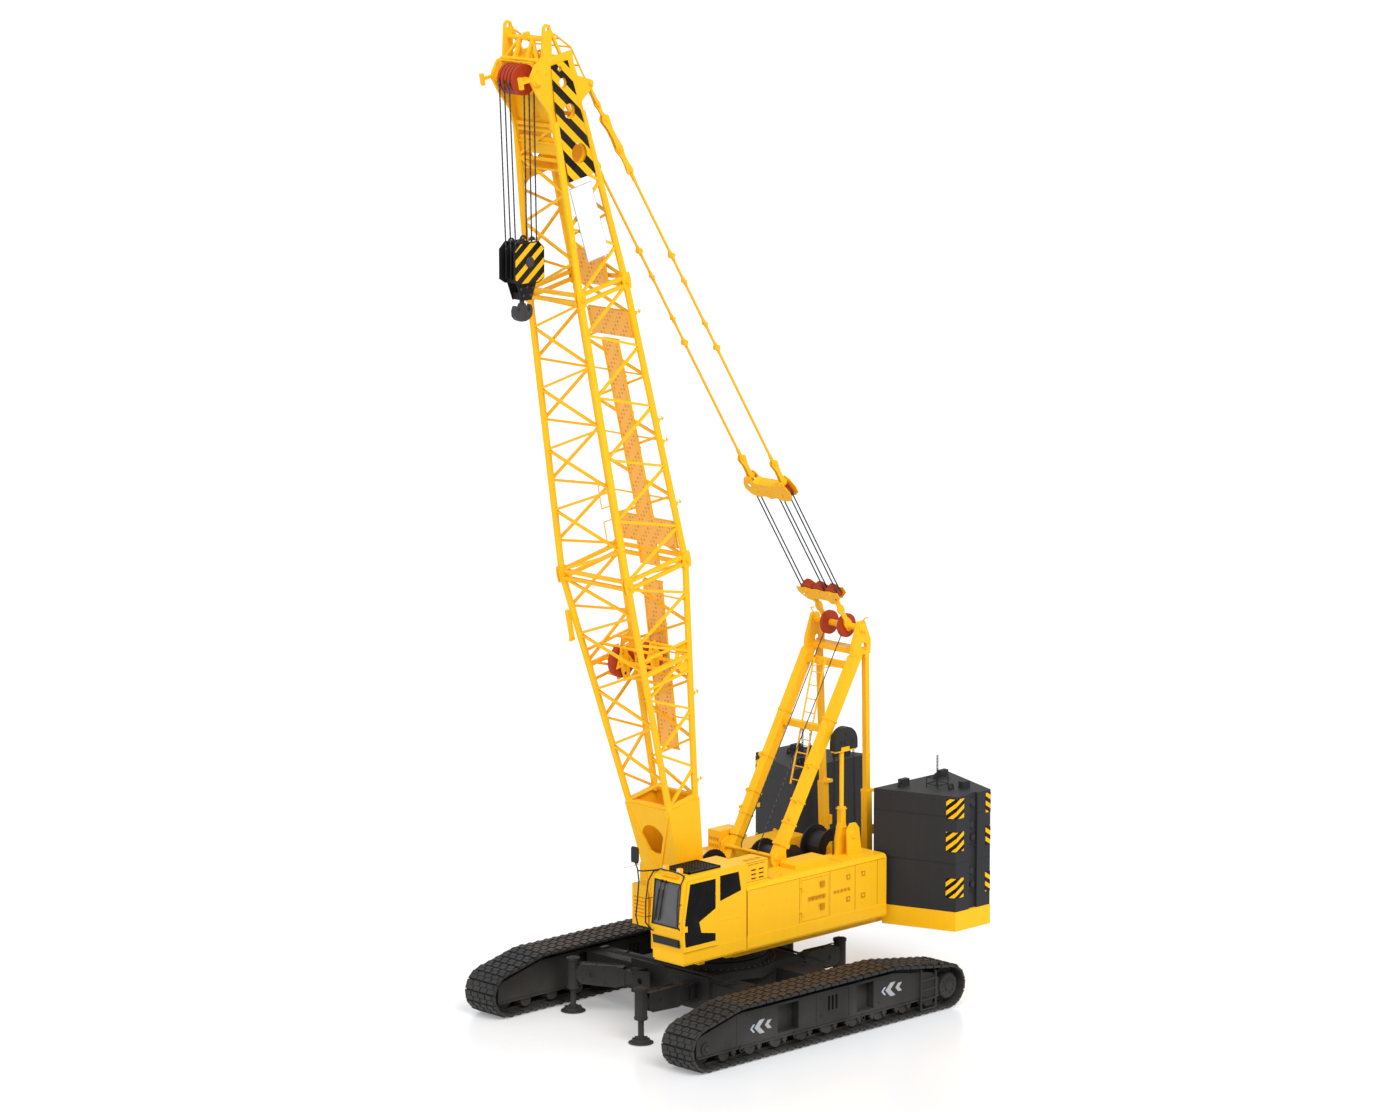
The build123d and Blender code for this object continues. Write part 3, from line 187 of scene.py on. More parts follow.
def perforated(name, base, hole_shade):
    """A plate full of round holes, drawn as painted shade: a darker colour and a bump where the holes are."""
    m, t, p = surface(name)
    cells = t.add("ShaderNodeTexVoronoi", {"Vector": t.place(turn=(0, 0, .3)), "Scale": 1 / HOLE_PITCH,
                                           "Randomness": 0.0})
    holes = t.ramp(cells.outputs["Distance"], .26, .34, 1, 0)
    w = t.add("ShaderNodeGroup", node_tree=WEATHER).outputs
    dress(t, p, {"Base Color": t.mix(holes, base, hole_shade),
                 "Normal": t.bump(.3, .006, t.math("SUBTRACT", 1.0, holes)),
                 "Roughness": t.ramp(w["Mask"], 0, 1, .5, .7)})
    return m


def rope_material(name, colour, crest_highlight, lay):
    """Twisted strands: slanting ridges round a long thin piece, with a painted highlight that makes the
    ridges' crests lighter.
    """
    m, t, p = surface(name)
    x, y, z = t.axes()
    turns = t.math("ADD", t.math("MULTIPLY", z, 1 / lay), t.math("MULTIPLY", t.math("ADD", x, y), 30.0))
    ridge = t.math("SINE", t.math("MULTIPLY", turns, 6.283))
    dress(t, p, {"Base Color": t.mix(t.ramp(ridge, -1, 1), colour, crest_highlight), "Normal": t.bump(.7, .004, ridge),
                 "Roughness": t.ramp(t.noise(9.0, 4.0), .2, .8, .4, .6), "Metallic": .6})
    return m


def glazing(name, side_tint, screen_reflection, clear):
    """Dark tinted panes, with a painted reflection that makes the windscreen paler; the sides and low panes
    stay dark.
    """
    m, t, p = surface(name)
    n = t.noise(3.0, 4.0)
    x, _, z = t.axes()
    ahead, above = t.math("GREATER_THAN", x, SCREEN_X), t.math("GREATER_THAN", z, SCREEN_Z)
    reflect_mask = t.math("MULTIPLY", ahead, above)
    tint_and_reflection = t.mix(reflect_mask, side_tint, screen_reflection)
    dress(t, p, {"Base Color": t.mix(t.math("MULTIPLY", t.ramp(n, .35, .75), .3), tint_and_reflection, (.02, .02, .02)),
                 "Roughness": t.ramp(n, .3, .8, .05, .12), "Metallic": 0, "Specular IOR Level": .06,
                 "Transmission Weight": clear, "IOR": 1.45})
    return m


# name, base and worn colour, roughness, streaks, dust, grain's size and depth, metal, specular
PAINTS = {
    "yellow": ("crane_yellow", YELLOW, (.86, .40, .010), .42, .16, .18, 55.0, .08, 0, .22),
    "charcoal": ("frame_charcoal", (.0085, .0085, .009), (.019, .018, .017), .52, .3, .18, 45.0, .16, 0, .20),
    "track": ("shoe_steel", (.019, .019, .020), (.038, .036, .034), .58, .3, .12, 35.0, .30, .1, .3),
    "ballast": ("ballast_charcoal", (.021, .021, .023), (.035, .034, .034), .60, .3, .10, 30.0, .30, 0, .25),
    "winch": ("drum_black", (.008, .008, .009), (.022, .020, .018), .42, .2, .10, 60.0, .12, 0, .35),
    "red": ("sheave_red", (.43, .045, .010), (.30, .034, .012), .50, .4, .10, 60.0, .12, 0, .25),
    "hook": ("hook_steel", (.040, .040, .043), (.085, .080, .075), .45, .3, .10, 50.0, .22, .3, .4),
    "white": ("sign_white", (.88, .88, .88), (.74, .73, .71), .45, .2, .05, 60.0, .04, 0, .3),
    "seat": ("seat_cloth", (.020, .020, .023), (.035, .035, .035), .85, .2, .05, 120.0, .5, 0, .2),
    "rubber": ("trim_black", (.006, .006, .0065), (.016, .016, .016), .48, .2, .08, 90.0, .12, 0, .35),
    "chrome": ("rod_chrome", (.62, .62, .63), (.42, .40, .38), .18, .3, .1, 40.0, .03, .95),
    "lamp": ("lamp_lens", (.80, .80, .78), (.6, .6, .55), .12, .1, .0, 60.0, .02),
    "arrow": ("arrow_grey", (.42, .42, .43), (.30, .30, .30), .45, .2, .1, 60.0, .05, 0, .3),
    "arrow_blue": ("arrow_blue", (.40, .47, .62), (.30, .34, .45), .45, .2, .1, 60.0, .05, 0, .3),
    "seam": ("seam_amber", (.46, .20, .004), (.35, .15, .01), .55, .2, .1, 60.0, .1, 0, .15),
    # painted shade: a darker amber for the slots and recessed boxes on the houses
    "recess": ("recess_painted_shade", (.60, .27, .006), (.40, .18, .01), .55, .2, .1, 60.0, .1, 0, .15),
}
M = {finish: paint(*row) for finish, row in PAINTS.items()}
# the walkway's second colour is painted shade in the holes
M["mesh"] = perforated("walkway_mesh", (.96, .50, .085), (.62, .28, .045))
# the rope's second colour is a painted highlight on the strands' crests
M["rope"] = rope_material("wire_rope", (.018, .018, .019), (.075, .075, .08), .12)
# the windscreen's paler grey is a painted reflection
M["glass"] = glazing("cab_glazing", (.0025, .0025, .003), (.15, .15, .15), .06)
M["board"] = stripes("board_stripes", (.657, 0, -.754), .30, .52)
M["block_board"] = stripes("block_stripes", (.62, 0, .78), .235, .54)
M["patch_rise"] = stripes("patch_rising", (.5, -.5, .80), .145, .5)
M["patch_fall"] = stripes("patch_falling", (.5, -.5, -.80), .145, .5)


def earth_on_shoes():
    """Dry earth on the level upper run of the tracks."""
    t = Tree(M["track"].node_tree)
    p = M["track"].node_tree.nodes["Principled BSDF"]
    plain = p.inputs["Base Color"].links[0].from_socket
    x, _, z = t.axes()
    level = t.math("MULTIPLY", t.ramp(z, 1.212, 1.230), t.ramp(x, 2.75, 2.35))
    level = t.math("MULTIPLY", level, t.ramp(x, -2.15, -1.80))
    share = t.math("MULTIPLY", level, t.ramp(t.noise(14.0, 5.0), .25, .60))
    t.put(p, "Base Color", t.mix(share, plain, (.085, .042, .014)))


earth_on_shoes()
NODE_FINISH = (
    ("track_frame", "charcoal"), ("track_", "track"), ("carbody", "charcoal"), ("jack_arm", "charcoal"),
    ("jack_pad", "charcoal"), ("winch", "winch"), ("ballast_slab", "ballast"), ("ballast_tray", "yellow"),
    ("engine", "winch"), ("head_sheaves", "red"), ("guide_sheaves", "red"), ("hoist_falls", "rope"),
    ("luffing_ropes", "rope"), ("hook_block", "charcoal"), ("hook", "hook"), ("cab_glass", "glass"),
    ("cab_door_glass", "glass"), ("", "yellow"))
for name, ob in nodes.items():
    finish = next(f for start, f in NODE_FINISH if name.startswith(start))
    ob.data.materials.clear()
    ob.data.materials.append(M[finish])


# ================= shapes =================
MITRE = .35                                   # least cosine that a bend's mitre is drawn for
UP, ACROSS = (0, 0, 1), (0, 1, 0)


def linked(name, data):
    """A new object in the scene, at the origin."""
    ob = bpy.data.objects.new(name, data)
    bpy.context.scene.collection.objects.link(ob)
    return ob


def around(n):
    """Cosine and sine at n even steps of a turn."""
    return [(math.cos(2 * math.pi * k / n), math.sin(2 * math.pi * k / n)) for k in range(n)]


class Shape:
    """Gathers plain parts of one finish into one mesh, in metres."""

    def __init__(self, place=None):
        self.bm = bmesh.new()
        self.place = place or Matrix.Identity(4)

    def verts(self, points):
        return [self.bm.verts.new(self.place @ Vector(q)) for q in points]

    def prism(self, outline, run):
        """A flat outline pushed along a vector."""
        n = len(outline)
        vs = self.verts(list(outline) + [Vector(q) + Vector(run) for q in outline])
        self.bm.faces.new(vs[:n][::-1])
        self.bm.faces.new(vs[n:])
        for i in range(n):
            j = (i + 1) % n
            self.bm.faces.new([vs[i], vs[j], vs[n + j], vs[n + i]])

    def box(self, x0, x1, y0, y1, z0, z1):
        self.prism([(x0, y0, z0), (x1, y0, z0), (x1, y1, z0), (x0, y1, z0)], (0, 0, z1 - z0))

    def side(self, outline, y0, y1):
        """An outline of (x, z) that stands from y0 to y1."""
        self.prism([(x, y0, z) for x, z in outline], (0, y1 - y0, 0))

    def skin(self, rings, closed):
        """Walls between rings of corners, with a cap at each end of an open run."""
        n = len(rings[0])
        for ra, rb in zip(rings, rings[1:] + (rings[:1] if closed else [])):
            for k in range(n):
                self.bm.faces.new([ra[k], ra[(k + 1) % n], rb[(k + 1) % n], rb[k]])
        if not closed:
            self.bm.faces.new(rings[0][::-1])
            self.bm.faces.new(rings[-1])

    def tube(self, points, r, sides=8, closed=False):
        """A round bar along a path, mitred at the bends."""
        pts = [Vector(q) for q in points]
        n = len(pts)
        rings = []
        for i, q in enumerate(pts):
            a = pts[(i - 1) % n] if closed or i else None
            b = pts[(i + 1) % n] if closed or i < n - 1 else None
            into = (q - a).normalized() if a is not None else (b - q).normalized()
            away = (b - q).normalized() if b is not None else into
            mid = (into + away).normalized()
            ref = Vector((0, 1, 0)) if abs(into.y) < .9 else Vector((1, 0, 0))
            u = ref.cross(into).normalized()
            w = into.cross(u)
            ring = []
            for c, s in around(sides):
                off = u * c * r + w * s * r
                off -= into * (off.dot(mid) / max(MITRE, into.dot(mid)))
                ring.append(q + off)
            rings.append(self.verts(ring))
        self.skin(rings, closed)

    def turned(self, centre, axis, profile, sides=20, ring=False):
        """A turned part: profile of (along, radius); a ring's profile closes on itself."""
        a, middle = Vector(axis).normalized(), Vector(centre)
        ref = Vector((0, 0, 1)) if abs(a.z) < .9 else Vector((1, 0, 0))
        u = ref.cross(a).normalized()
        w = a.cross(u)
        turn = around(sides)
        rings = [self.verts(middle + a * d + (u * c + w * s) * r for c, s in turn) for d, r in profile]
        self.skin(rings, ring)

    def stud(self, centre, axis, r, high, tip, sides=6, rise=.002):
        """A round head whose top edge is drawn in."""
        self.turned(centre, axis, [(0, r), (high, r), (high + rise, tip)], sides)

    def pin(self, centre, axis, long, r, tip, lead=.002, sides=12):
        """A round bar whose two ends are drawn in."""
        self.turned(centre, axis, [(0, tip), (lead, r), (long - lead, r), (long, tip)], sides)

    def sheet(self, outline, holes, thick, mat):
        """A flat plate of (u, v) with round holes (u, v, radius), set in space by a matrix."""
        cu = bpy.data.curves.new("sheet", "CURVE")
        cu.dimensions, cu.fill_mode, cu.extrude = "2D", "BOTH", thick / 2
        for ring in [outline] + [arc(u, v, r, 0, 345, 15 if r > .03 else 8) for u, v, r in holes]:
            sp = cu.splines.new("POLY")
            sp.points.add(len(ring) - 1)
            for q, (u, v) in zip(sp.points, ring):
                q.co = (u, v, 0, 1)
            sp.use_cyclic_u = True
        flat = linked("sheet", cu)
        me = bpy.data.meshes.new_from_object(flat.evaluated_get(bpy.context.evaluated_depsgraph_get()))
        me.transform(self.place @ mat)
        self.bm.from_mesh(me)
        bpy.data.objects.remove(flat)
        bpy.data.meshes.remove(me)
        bpy.data.curves.remove(cu)

    def mesh(self, name, finish):
        bmesh.ops.remove_doubles(self.bm, verts=self.bm.verts, dist=1e-6)
        bmesh.ops.recalc_face_normals(self.bm, faces=self.bm.faces)
        me = bpy.data.meshes.new(name)
        self.bm.to_mesh(me)
        self.bm.free()
        me.materials.append(M[finish])
        return me

    def done(self, name, finish, body="superstructure", bevel=0.0):
        """Makes the mesh a piece that rides on a body, with its edges rounded where a bevel is given."""
        ob = linked(name, self.mesh(name, finish))
        if bevel:
            mod = ob.modifiers.new("edge", "BEVEL")
            mod.width, mod.segments, mod.limit_method = bevel, 2, "ANGLE"
        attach(ob, body)
        return ob


def stood(y):
    """Sets a flat (u, v) shape upright as (x, z) at y."""
    return Matrix.Translation((0, y, 0)) @ Matrix.Rotation(math.pi / 2, 4, "X")


def fronted(x):
    """Sets a flat (u, v) shape upright as (y, z) at x."""
    return Matrix.Translation((x, 0, 0)) @ Matrix(((0, 0, 1, 0), (1, 0, 0, 0), (0, 1, 0, 0), (0, 0, 0, 1)))


def arc(cx, cz, r, a0, a1, n):
    """Points (x, z) on a circle, angles in degrees."""
    return [(cx + r * math.cos(math.radians(a0 + (a1 - a0) * i / n)),
             cz + r * math.sin(math.radians(a0 + (a1 - a0) * i / n))) for i in range(n + 1)]


def span(node):
    """Corners of a node's box as x0, x1, y0, y1, z0, z1."""
    lo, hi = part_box(node)
    return lo[0], hi[0], lo[1], hi[1], lo[2], hi[2]


# ================= repeats by node tree =================
class Nodes(Tree):
    """A geometry tree that places copies of a shape on the points of a path."""

    def __init__(self, name, sizes):
        g = bpy.data.node_groups.new(name, "GeometryNodeTree")
        g.interface.new_socket("Geometry", in_out="INPUT", socket_type="NodeSocketGeometry")
        for label, default in sizes:
            s = g.interface.new_socket(label, in_out="INPUT", socket_type="NodeSocketFloat")
            s.default_value = default
        g.interface.new_socket("Geometry", in_out="OUTPUT", socket_type="NodeSocketGeometry")
        super().__init__(g)
        self.gi, self.go = self.add("NodeGroupInput"), self.add("NodeGroupOutput")

    def cube(self, size, spot):
        c = self.add("GeometryNodeMeshCube", {"Size": size}).outputs["Mesh"]
        return self.add("GeometryNodeTransform", {"Geometry": c, "Translation": spot}).outputs[0]

    def finish(self, geometry, finish):
        """Realizes the copies, sets their material and hands them on."""
        real = self.add("GeometryNodeRealizeInstances", {"Geometry": geometry})
        mat = self.add("GeometryNodeSetMaterial", {"Geometry": real.outputs[0], "Material": M[finish]})
        self.t.links.new(mat.outputs[0], self.go.inputs[0])
        return self.t


def repeat_tree(name, parts, finish, pivot="Y"):
    """Copies of the joined parts, evenly spaced by Pitch along the input path."""
    t = Nodes(name, (("Pitch", .2),))
    shape = t.add("GeometryNodeJoinGeometry")
    for part in reversed(parts(t)):
        t.t.links.new(part, shape.inputs[0])
    curve = t.add("GeometryNodeMeshToCurve", {"Mesh": t.gi.outputs["Geometry"]})
    spaced = t.add("GeometryNodeResampleCurve", {"Curve": curve.outputs[0], "Length": t.gi.outputs["Pitch"]},
                   mode="LENGTH")
    along = t.add("GeometryNodeInputTangent")
    turn = t.add("FunctionNodeAlignRotationToVector", {"Vector": along.outputs[0]}, axis="X",
                 pivot_axis=pivot)
    put_on = t.add("GeometryNodeInstanceOnPoints", {"Points": spaced.outputs[0], "Instance": shape.outputs[0],
                                                    "Rotation": turn.outputs[0]})
    return t.finish(put_on.outputs[0], finish)


def grown(name, tree, path, body, closed=False, **sizes):
    """Runs a tree on a path and keeps its result as a plain mesh."""
    bm = bmesh.new()
    vs = [bm.verts.new(q) for q in path]
    for a, b in zip(vs, vs[1:] + (vs[:1] if closed else [])):
        bm.edges.new((a, b))
    me = bpy.data.meshes.new(name + "_path")
    bm.to_mesh(me)
    bm.free()
    seed = linked(name + "_path", me)
    mod = seed.modifiers.new("grow", "NODES")
    mod.node_group = tree
    for item in tree.interface.items_tree:
        if item.in_out == "INPUT" and item.name in sizes:
            mod[item.identifier] = sizes[item.name]
    out = bpy.data.meshes.new_from_object(seed.evaluated_get(bpy.context.evaluated_depsgraph_get()))
    out.name = name
    bpy.data.objects.remove(seed)
    ob = linked(name, out)
    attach(ob, body)
    return ob


# ================= tracks =================
TRACK_X0, TRACK_X1, _, _, _, RUN_Z = span("track_left")
IDLER, SPROCKET = .50, .49                    # outer radii of the band at its ends
TOP_X0, TOP_X1 = -1.90, 2.60                  # ends of the level upper run
IDLER_WRAP, SPROCKET_WRAP = 166, 171          # degrees of band on each wheel
SHOE_PITCH, SHOE_W = .24, .90
SHOE_RISE = .013                              # of a shoe's ends over the path where it turns


def track_path(inset, n=14):
    """The band's outline, inset from its outer face."""
    xi, xs = TRACK_X1 - IDLER, TRACK_X0 + SPROCKET
    pts = arc(xs, SPROCKET, SPROCKET - inset, -90, -90 - SPROCKET_WRAP, n)
    pts += [(TOP_X0, RUN_Z - inset), (TOP_X1, RUN_Z - inset)]
    return pts + arc(xi, IDLER, IDLER - inset, IDLER_WRAP - 90, -90, n)


def shoe_parts(t):
    """Plate and closing plate, two rows of staggered blocks outside and two links inside."""
    parts = [t.cube((.200, SHOE_W, .044), (0, 0, -.046)), t.cube((.262, SHOE_W - .02, .014), (0, 0, -.070))]
    for u, shift in ((-.050, 0), (.050, .055)):
        for k in range(4):
            parts.append(t.cube((.088, .162, .030), (u, .105 - SHOE_W / 2 + shift + k * .21, -.015)))
    return parts + [t.cube((.235, .055, .065), (0, v, -.096)) for v in (-.16, .16)]


def guard_parts(t):
    """Foot of a roller guard with its two screws."""
    return [t.cube((.13, .045, .075), (0, 0, 0)), t.cube((.06, .055, .05), (0, 0, -.055)),
            t.cube((.022, .064, .022), (-.045, 0, .01)), t.cube((.022, .064, .022), (.045, 0, .01))]


SHOES = repeat_tree("track_shoes", shoe_parts, "track")
GUARDS = repeat_tree("roller_guards", guard_parts, "charcoal")
for tag, side in (("left", 1), ("right", -1)):
    _, _, ya, yb, _, _ = span("track_" + tag)
    path = [(x, (ya + yb) / 2, z) for x, z in track_path(SHOE_RISE)]
    loop = sum(math.dist(a, b) for a, b in zip(path, path[1:] + path[:1]))
    shoes = grown("track_shoes_" + tag, SHOES, path, "undercarriage", True,
                  Pitch=loop / round(loop / SHOE_PITCH))
    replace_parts(shoes, "track_" + tag)
    grown("roller_guards_" + tag, GUARDS, [(-2.75, side * 3.29, .285), (2.75, side * 3.29, .285)],
          "undercarriage", Pitch=.344)


# ================= boom =================
BOOM_TILT = math.radians(90 - 77.9)
BOOM = Matrix.Translation(joint["boom_luff"]["pos_m"]) @ Matrix.Rotation(BOOM_TILT, 4, "Y")
# station along the boom, width and depth over the chord lines
STATIONS = ((0, .90, .42), (2.85, 1.18, .76), (8.0, 1.94, 1.65), (14.0, 1.49, 1.26), (17.6, 1.15, .74))
CHORD_R = .068
SECTION_ENDS = (8.0, 14.0)
PLATE_FACE = .59                              # outer face of the head's side plates
PEND_C, PEND_T, PEND_Y = -.70, 18.09, .47     # eyes behind the head, and the pendants' spacing
SHEAVE_C, SHEAVE_T = .685, 18.53
STRIP_STEP = .85                              # between the stays under a walkway strip


def halves(t):
    """Half width and half depth of the boom at a station."""
    for (ta, wa, da), (tb, wb, db) in zip(STATIONS, STATIONS[1:]):
        if t <= tb:
            f = (t - ta) / (tb - ta)
            return (wa + (wb - wa) * f) / 2, (da + (db - da) * f) / 2


def chord(t, face, side, out_by=0.0):
    w, d = halves(t)
    return face * (d + out_by), side * (w + out_by)


# perforated walkway strips inside the rear face, on cross angles between the rear chords:
# from and to along the boom, from and to across it, distance ahead of its middle at both ends
STRIPS = ((8.8, 12.7, -.17, .28, -.773, -.60), (3.8, 7.4, -.33, .20, -.50, -.78),
          (7.75, 8.24, -.33, .20, -.80, -.80), (8.24, 8.80, -.84, .84, -.80, -.775),
          (12.80, 13.35, -.45, .72, -.62, -.60), (13.9, 14.6, -.45, .38, -.50, -.50))
mesh, bars = Shape(BOOM), Shape(BOOM)
for t0, t1, y0, y1, c0, c1 in STRIPS:
    mesh.prism([(c0, y0, t0), (c0, y1, t0), (c1, y1, t1), (c1, y0, t1)], (.010, 0, 0))
    for y in (y0, y1):
        bars.prism([(c0 - .01, y - .012, t0), (c0 - .01, y + .012, t0), (c1 - .01, y + .012, t1),
                    (c1 - .01, y - .012, t1)], (.045, 0, 0))
    stays = max(1, round((t1 - t0) / STRIP_STEP))
    for i in range(stays + 1):
        t, c = t0 + (t1 - t0) * i / stays, c0 + (c1 - c0) * i / stays
        bars.box(c - .035, c - .008, y0 - .01, y1 + .01, t - .018, t + .018)
for t, c in ((9.3, -.755), (10.6, -.697), (12.0, -.634), (4.5, -.56), (5.9, -.67), (7.1, -.76)):
    w = halves(t)[0]
    bars.tube([(c - .03, -w, t), (c - .03, w, t)], .020, 6)
mesh.done("boom_walkway", "mesh", "boom")
# folded handrail posts on the far side, hooks behind the rear chord, box on the front one
for t in (8.15, 8.95):
    c, y = chord(t, -1, -1)
    bars.tube([(c + .10, y + .05, t), (c + .35, y + .05, t + .02), (c + .35, y + .05, t + .52),
               (c + .05, y + .06, t + .50)], .014, 6)
for t in (13.3, 11.0, 10.54, 9.2, 5.1, 3.2):
    c, y = chord(t, -1, 1, CHORD_R * .8)
    bars.tube([(c, y - .04, t), (c - .17, y - .04, t)], .014, 6)
    bars.tube([(c - .12, y - .04, t - .04), (c - .12, y - .04, t + .05)], .014, 6)
    bars.box(c - .04, c + .02, y - .07, y - .01, t - .035, t + .035)
c, y = chord(7.2, 1, -1, CHORD_R)
bars.box(c - .02, c + .05, y - .05, y + .05, 6.6, 7.2)
bars.box(c - .04, c + .09, y - .03, y + .03, 6.54, 6.6)
bars.done("boom_brackets", "yellow", "boom")

# lugs and pins that join the sections
LUG = ((-.095, -.17), (.095, -.17), (.110, -.05), (.110, .05), (.095, .17), (-.095, .17), (-.110, .05),
       (-.110, -.05))
LUG_PIN = ((0, .030), (.004, .046), (.030, .046), (.031, .032), (.180, .032), (.181, .046), (.204, .046),
           (.208, .030))
lugs = Shape(BOOM)
for t in SECTION_ENDS:
    for face in SIDES:
        for side in SIDES:
            c, y = chord(t, face, side)
            for dy in (-.052, .022):
                lugs.prism([(c + dc, y + dy, t + dt) for dc, dt in LUG], (0, .030, 0))
            lugs.turned((c, y - .105, t), (0, 1, 0), LUG_PIN, 14)
lugs.done("boom_section_lugs", "yellow", "boom")

# plates with three holes beside the guide sheaves, between tubes across the boom
GUIDE_BARS, GUIDE_T = (5.62, 6.27), 5.95
guides = Shape(BOOM)
for c, y in ((.22, -.30), (-.24, .10)):
    for dy in (-.105, .105):
        guides.sheet([(c - .07, 5.56), (c + .09, 5.56), (c + .13, 5.80), (c + .13, 6.05), (c + .06, 6.30),
                      (c - .10, 6.30), (c - .13, 6.05), (c - .11, 5.80)],
                     [(c + .03, 5.72, .036), (c + .02, GUIDE_T, .050), (c + .01, 6.16, .036)], .014,
                     stood(y + dy))
    for t in GUIDE_BARS:
        w = halves(t)[0]
        guides.tube([(c, -w, t), (c, w, t)], .034, 8)
for side in SIDES:
    for t in GUIDE_BARS:
        w, d = halves(t)
        guides.tube([(-d, side * w, t), (d, side * w, t)], .034, 8)
    w, d = halves(GUIDE_T)
    guides.sheet([(.04 - d, 5.66), (.30 - d, 5.66), (.42 - d, GUIDE_T), (.30 - d, 6.24), (.02 - d, 6.24)],
                 [(.20 - d, GUIDE_T, .10)], .014, stood(side * (w - .01)))
guides.done("guide_plates", "yellow", "boom")

# striped boards on both side plates of the head, with the plates' own round windows left open
BOARD = [(.268, 18.72), (.365, 17.847), (.352, 17.0), (.345, 16.345), (-.375, 16.335), (-.350, 16.784),
         (-.312, 17.437), (-.256, 17.909), (-.184, 18.711)]
BOARD_HOLES = [(.060, 18.600, .054), (.040, 18.306, .104), (0, 17.720, .154), (-.048, 16.837, .204)]
FOOT_T, FOOT_Y, LEAN = 16.33, .668, .026      # a board's lower edge and its lean in toward the plates above
lean = Matrix.Translation((0, 0, FOOT_Y + LEAN * FOOT_T))
lean[2][1] = -LEAN
boards = Shape(BOOM)
for side in SIDES:
    boards.sheet(BOARD, BOARD_HOLES, .008, stood(0) @ Matrix.Diagonal((1, 1, -side, 1)) @ lean)
boards.done("head_boards", "board", "boom")
# bare signs on grey backs: station, rear and front edge at the foot and at the top
(T0, REAR0, FRONT0), (T1, REAR1, FRONT1) = (14.70, -.27, .30), (16.22, -.16, .41)
for name, finish, rim, off in (("boom_signs", "white", 0, .008), ("boom_sign_backs", "arrow", .014, .004)):
    corners = ((REAR0 - rim, T0 - rim), (FRONT0 + rim, T0 - rim), (FRONT1 + rim, T1 + rim),
               (REAR1 - rim, T1 + rim))
    sign = Shape(BOOM)
    sign.prism([(c, halves(t)[0] + CHORD_R + off, t) for c, t in corners], (0, .010, 0))
    sign.done(name, finish, "boom")

# small parts of the head: collars, guards over the sheaves, bars across, rungs and eyes behind
head = Shape(BOOM)
for side in SIDES:
    y = side * PLATE_FACE
    head.turned((SHEAVE_C, y, SHEAVE_T), (0, side, 0),
                [(0, .12), (.02, .125), (.035, .115), (.036, .085), (.075, .08), (.08, .045)], 20)
    for c, t in ((.60, 18.25), (.62, 18.72), (.42, 18.60)):
        head.stud((c, y, t), (0, side, 0), .022, .014, .014)
    head.tube([(.02, side * .56, 19.30), (-.36, side * .56, 18.92), (-.60, side * .56, 18.20)], .022, 6)
    head.stud((PEND_C, side * .50, PEND_T), (0, side, 0), .05, .13, .035, 14, .01)
for c, t, w, r in ((.66, 18.885, .53, .012), (-.12, 19.16, .56, .020), (-.36, 18.92, .56, .020),
                   (-.50, 18.50, .56, .020), (.42, 17.15, .52, .022), (.42, 16.6, .52, .022)):
    head.tube([(c, -w, t), (c, w, t)], r, 6)
for y in (-.30, .30):
    head.sheet([(.12, 18.86), (.40, 18.86), (.30, 19.02), (.20, 19.02)], [(.25, 18.95, .028)], .02, stood(y))
head.done("head_fittings", "yellow", "boom")

# two pendants: link sets at both ends of a long bar, in the plane of the luffing tackle
PEND_TOP = BOOM @ Vector((PEND_C, 0, PEND_T))
HEAD_PIN = (-3.62, 0, 7.75)
run = PEND_TOP - Vector(HEAD_PIN)
LUFF = math.atan2(run.z, run.x)
TACKLE = Matrix.Translation(HEAD_PIN) @ Matrix.Rotation(-LUFF, 4, "Y")
LINE = Matrix.Translation(PEND_TOP) @ Matrix.Rotation(math.pi / 2 - LUFF, 4, "Y")
LOW_D, UP_D = .95, 3.70                       # spreaders from the gantry head
EAR_D = .28                                   # ears of the upper spreader over its middle
REACH = run.length - UP_D - EAR_D
FOOT_LINK = REACH - .50
# start and length of each link set, and its radius at the upper pin
LINK_SETS = ((0, .55, .055), (.55, .36, .070), (.91, .74, .100), (1.65, .56, .100), (FOOT_LINK, .50, .085))
links = Shape(LINE)
for y in (-PEND_Y, PEND_Y):
    for k, (d, ln, r) in enumerate(LINK_SETS):
        outline = arc(0, -d, r, 0, 180, 8) + [(-r * .55, -d - ln * .35), (-r * .55, -d - ln * .65)]
        outline += arc(0, -d - ln, r * .8, 180, 360, 8) + [(r * .55, -d - ln * .65), (r * .55, -d - ln * .35)]
        for dy in ((-.048, .028), (-.024, .004))[k % 2]:
            links.sheet(outline, [(0, -d, .022), (0, -d - ln, .022)], .020, stood(y + dy + .01))
    for d in (0, .55, .91, 1.65, 2.21, FOOT_LINK, REACH):
        links.pin((0, y - .075, -d), ACROSS, .15, .036, .022, sides=10)
    links.tube([(0, y, -2.18), (0, y, .47 - REACH)], .029, 8)
    links.turned((0, y, -2.50), UP, [(0, .030), (.06, .042), (.30, .042), (.34, .03)], 10)
    links.turned((0, y, .47 - REACH), UP, [(0, .034), (.02, .042), (.24, .042), (.30, .030)], 10)
    for d, r in ((4.36, .062), (5.02, .040), (6.12, .040), (6.75, .062)):
        links.pin((0, y - .055, -d), ACROSS, .11, r, .02)
        links.pin((0, y, -d - .12), UP, .24, .040, .030, .03, 10)
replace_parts(links.done("pendant_links", "yellow", "tackle_upper"), "pendants")
ROPE_R = .015


def taut(name, ends, node):
    """Straight ropes with an end on each of two bodies."""
    lot = Shape()
    for a, b in ends:
        lot.tube([a, b], ROPE_R, 8)
    ob = linked(name, lot.mesh(name, "rope"))
    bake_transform(ob)
    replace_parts(ob, node)


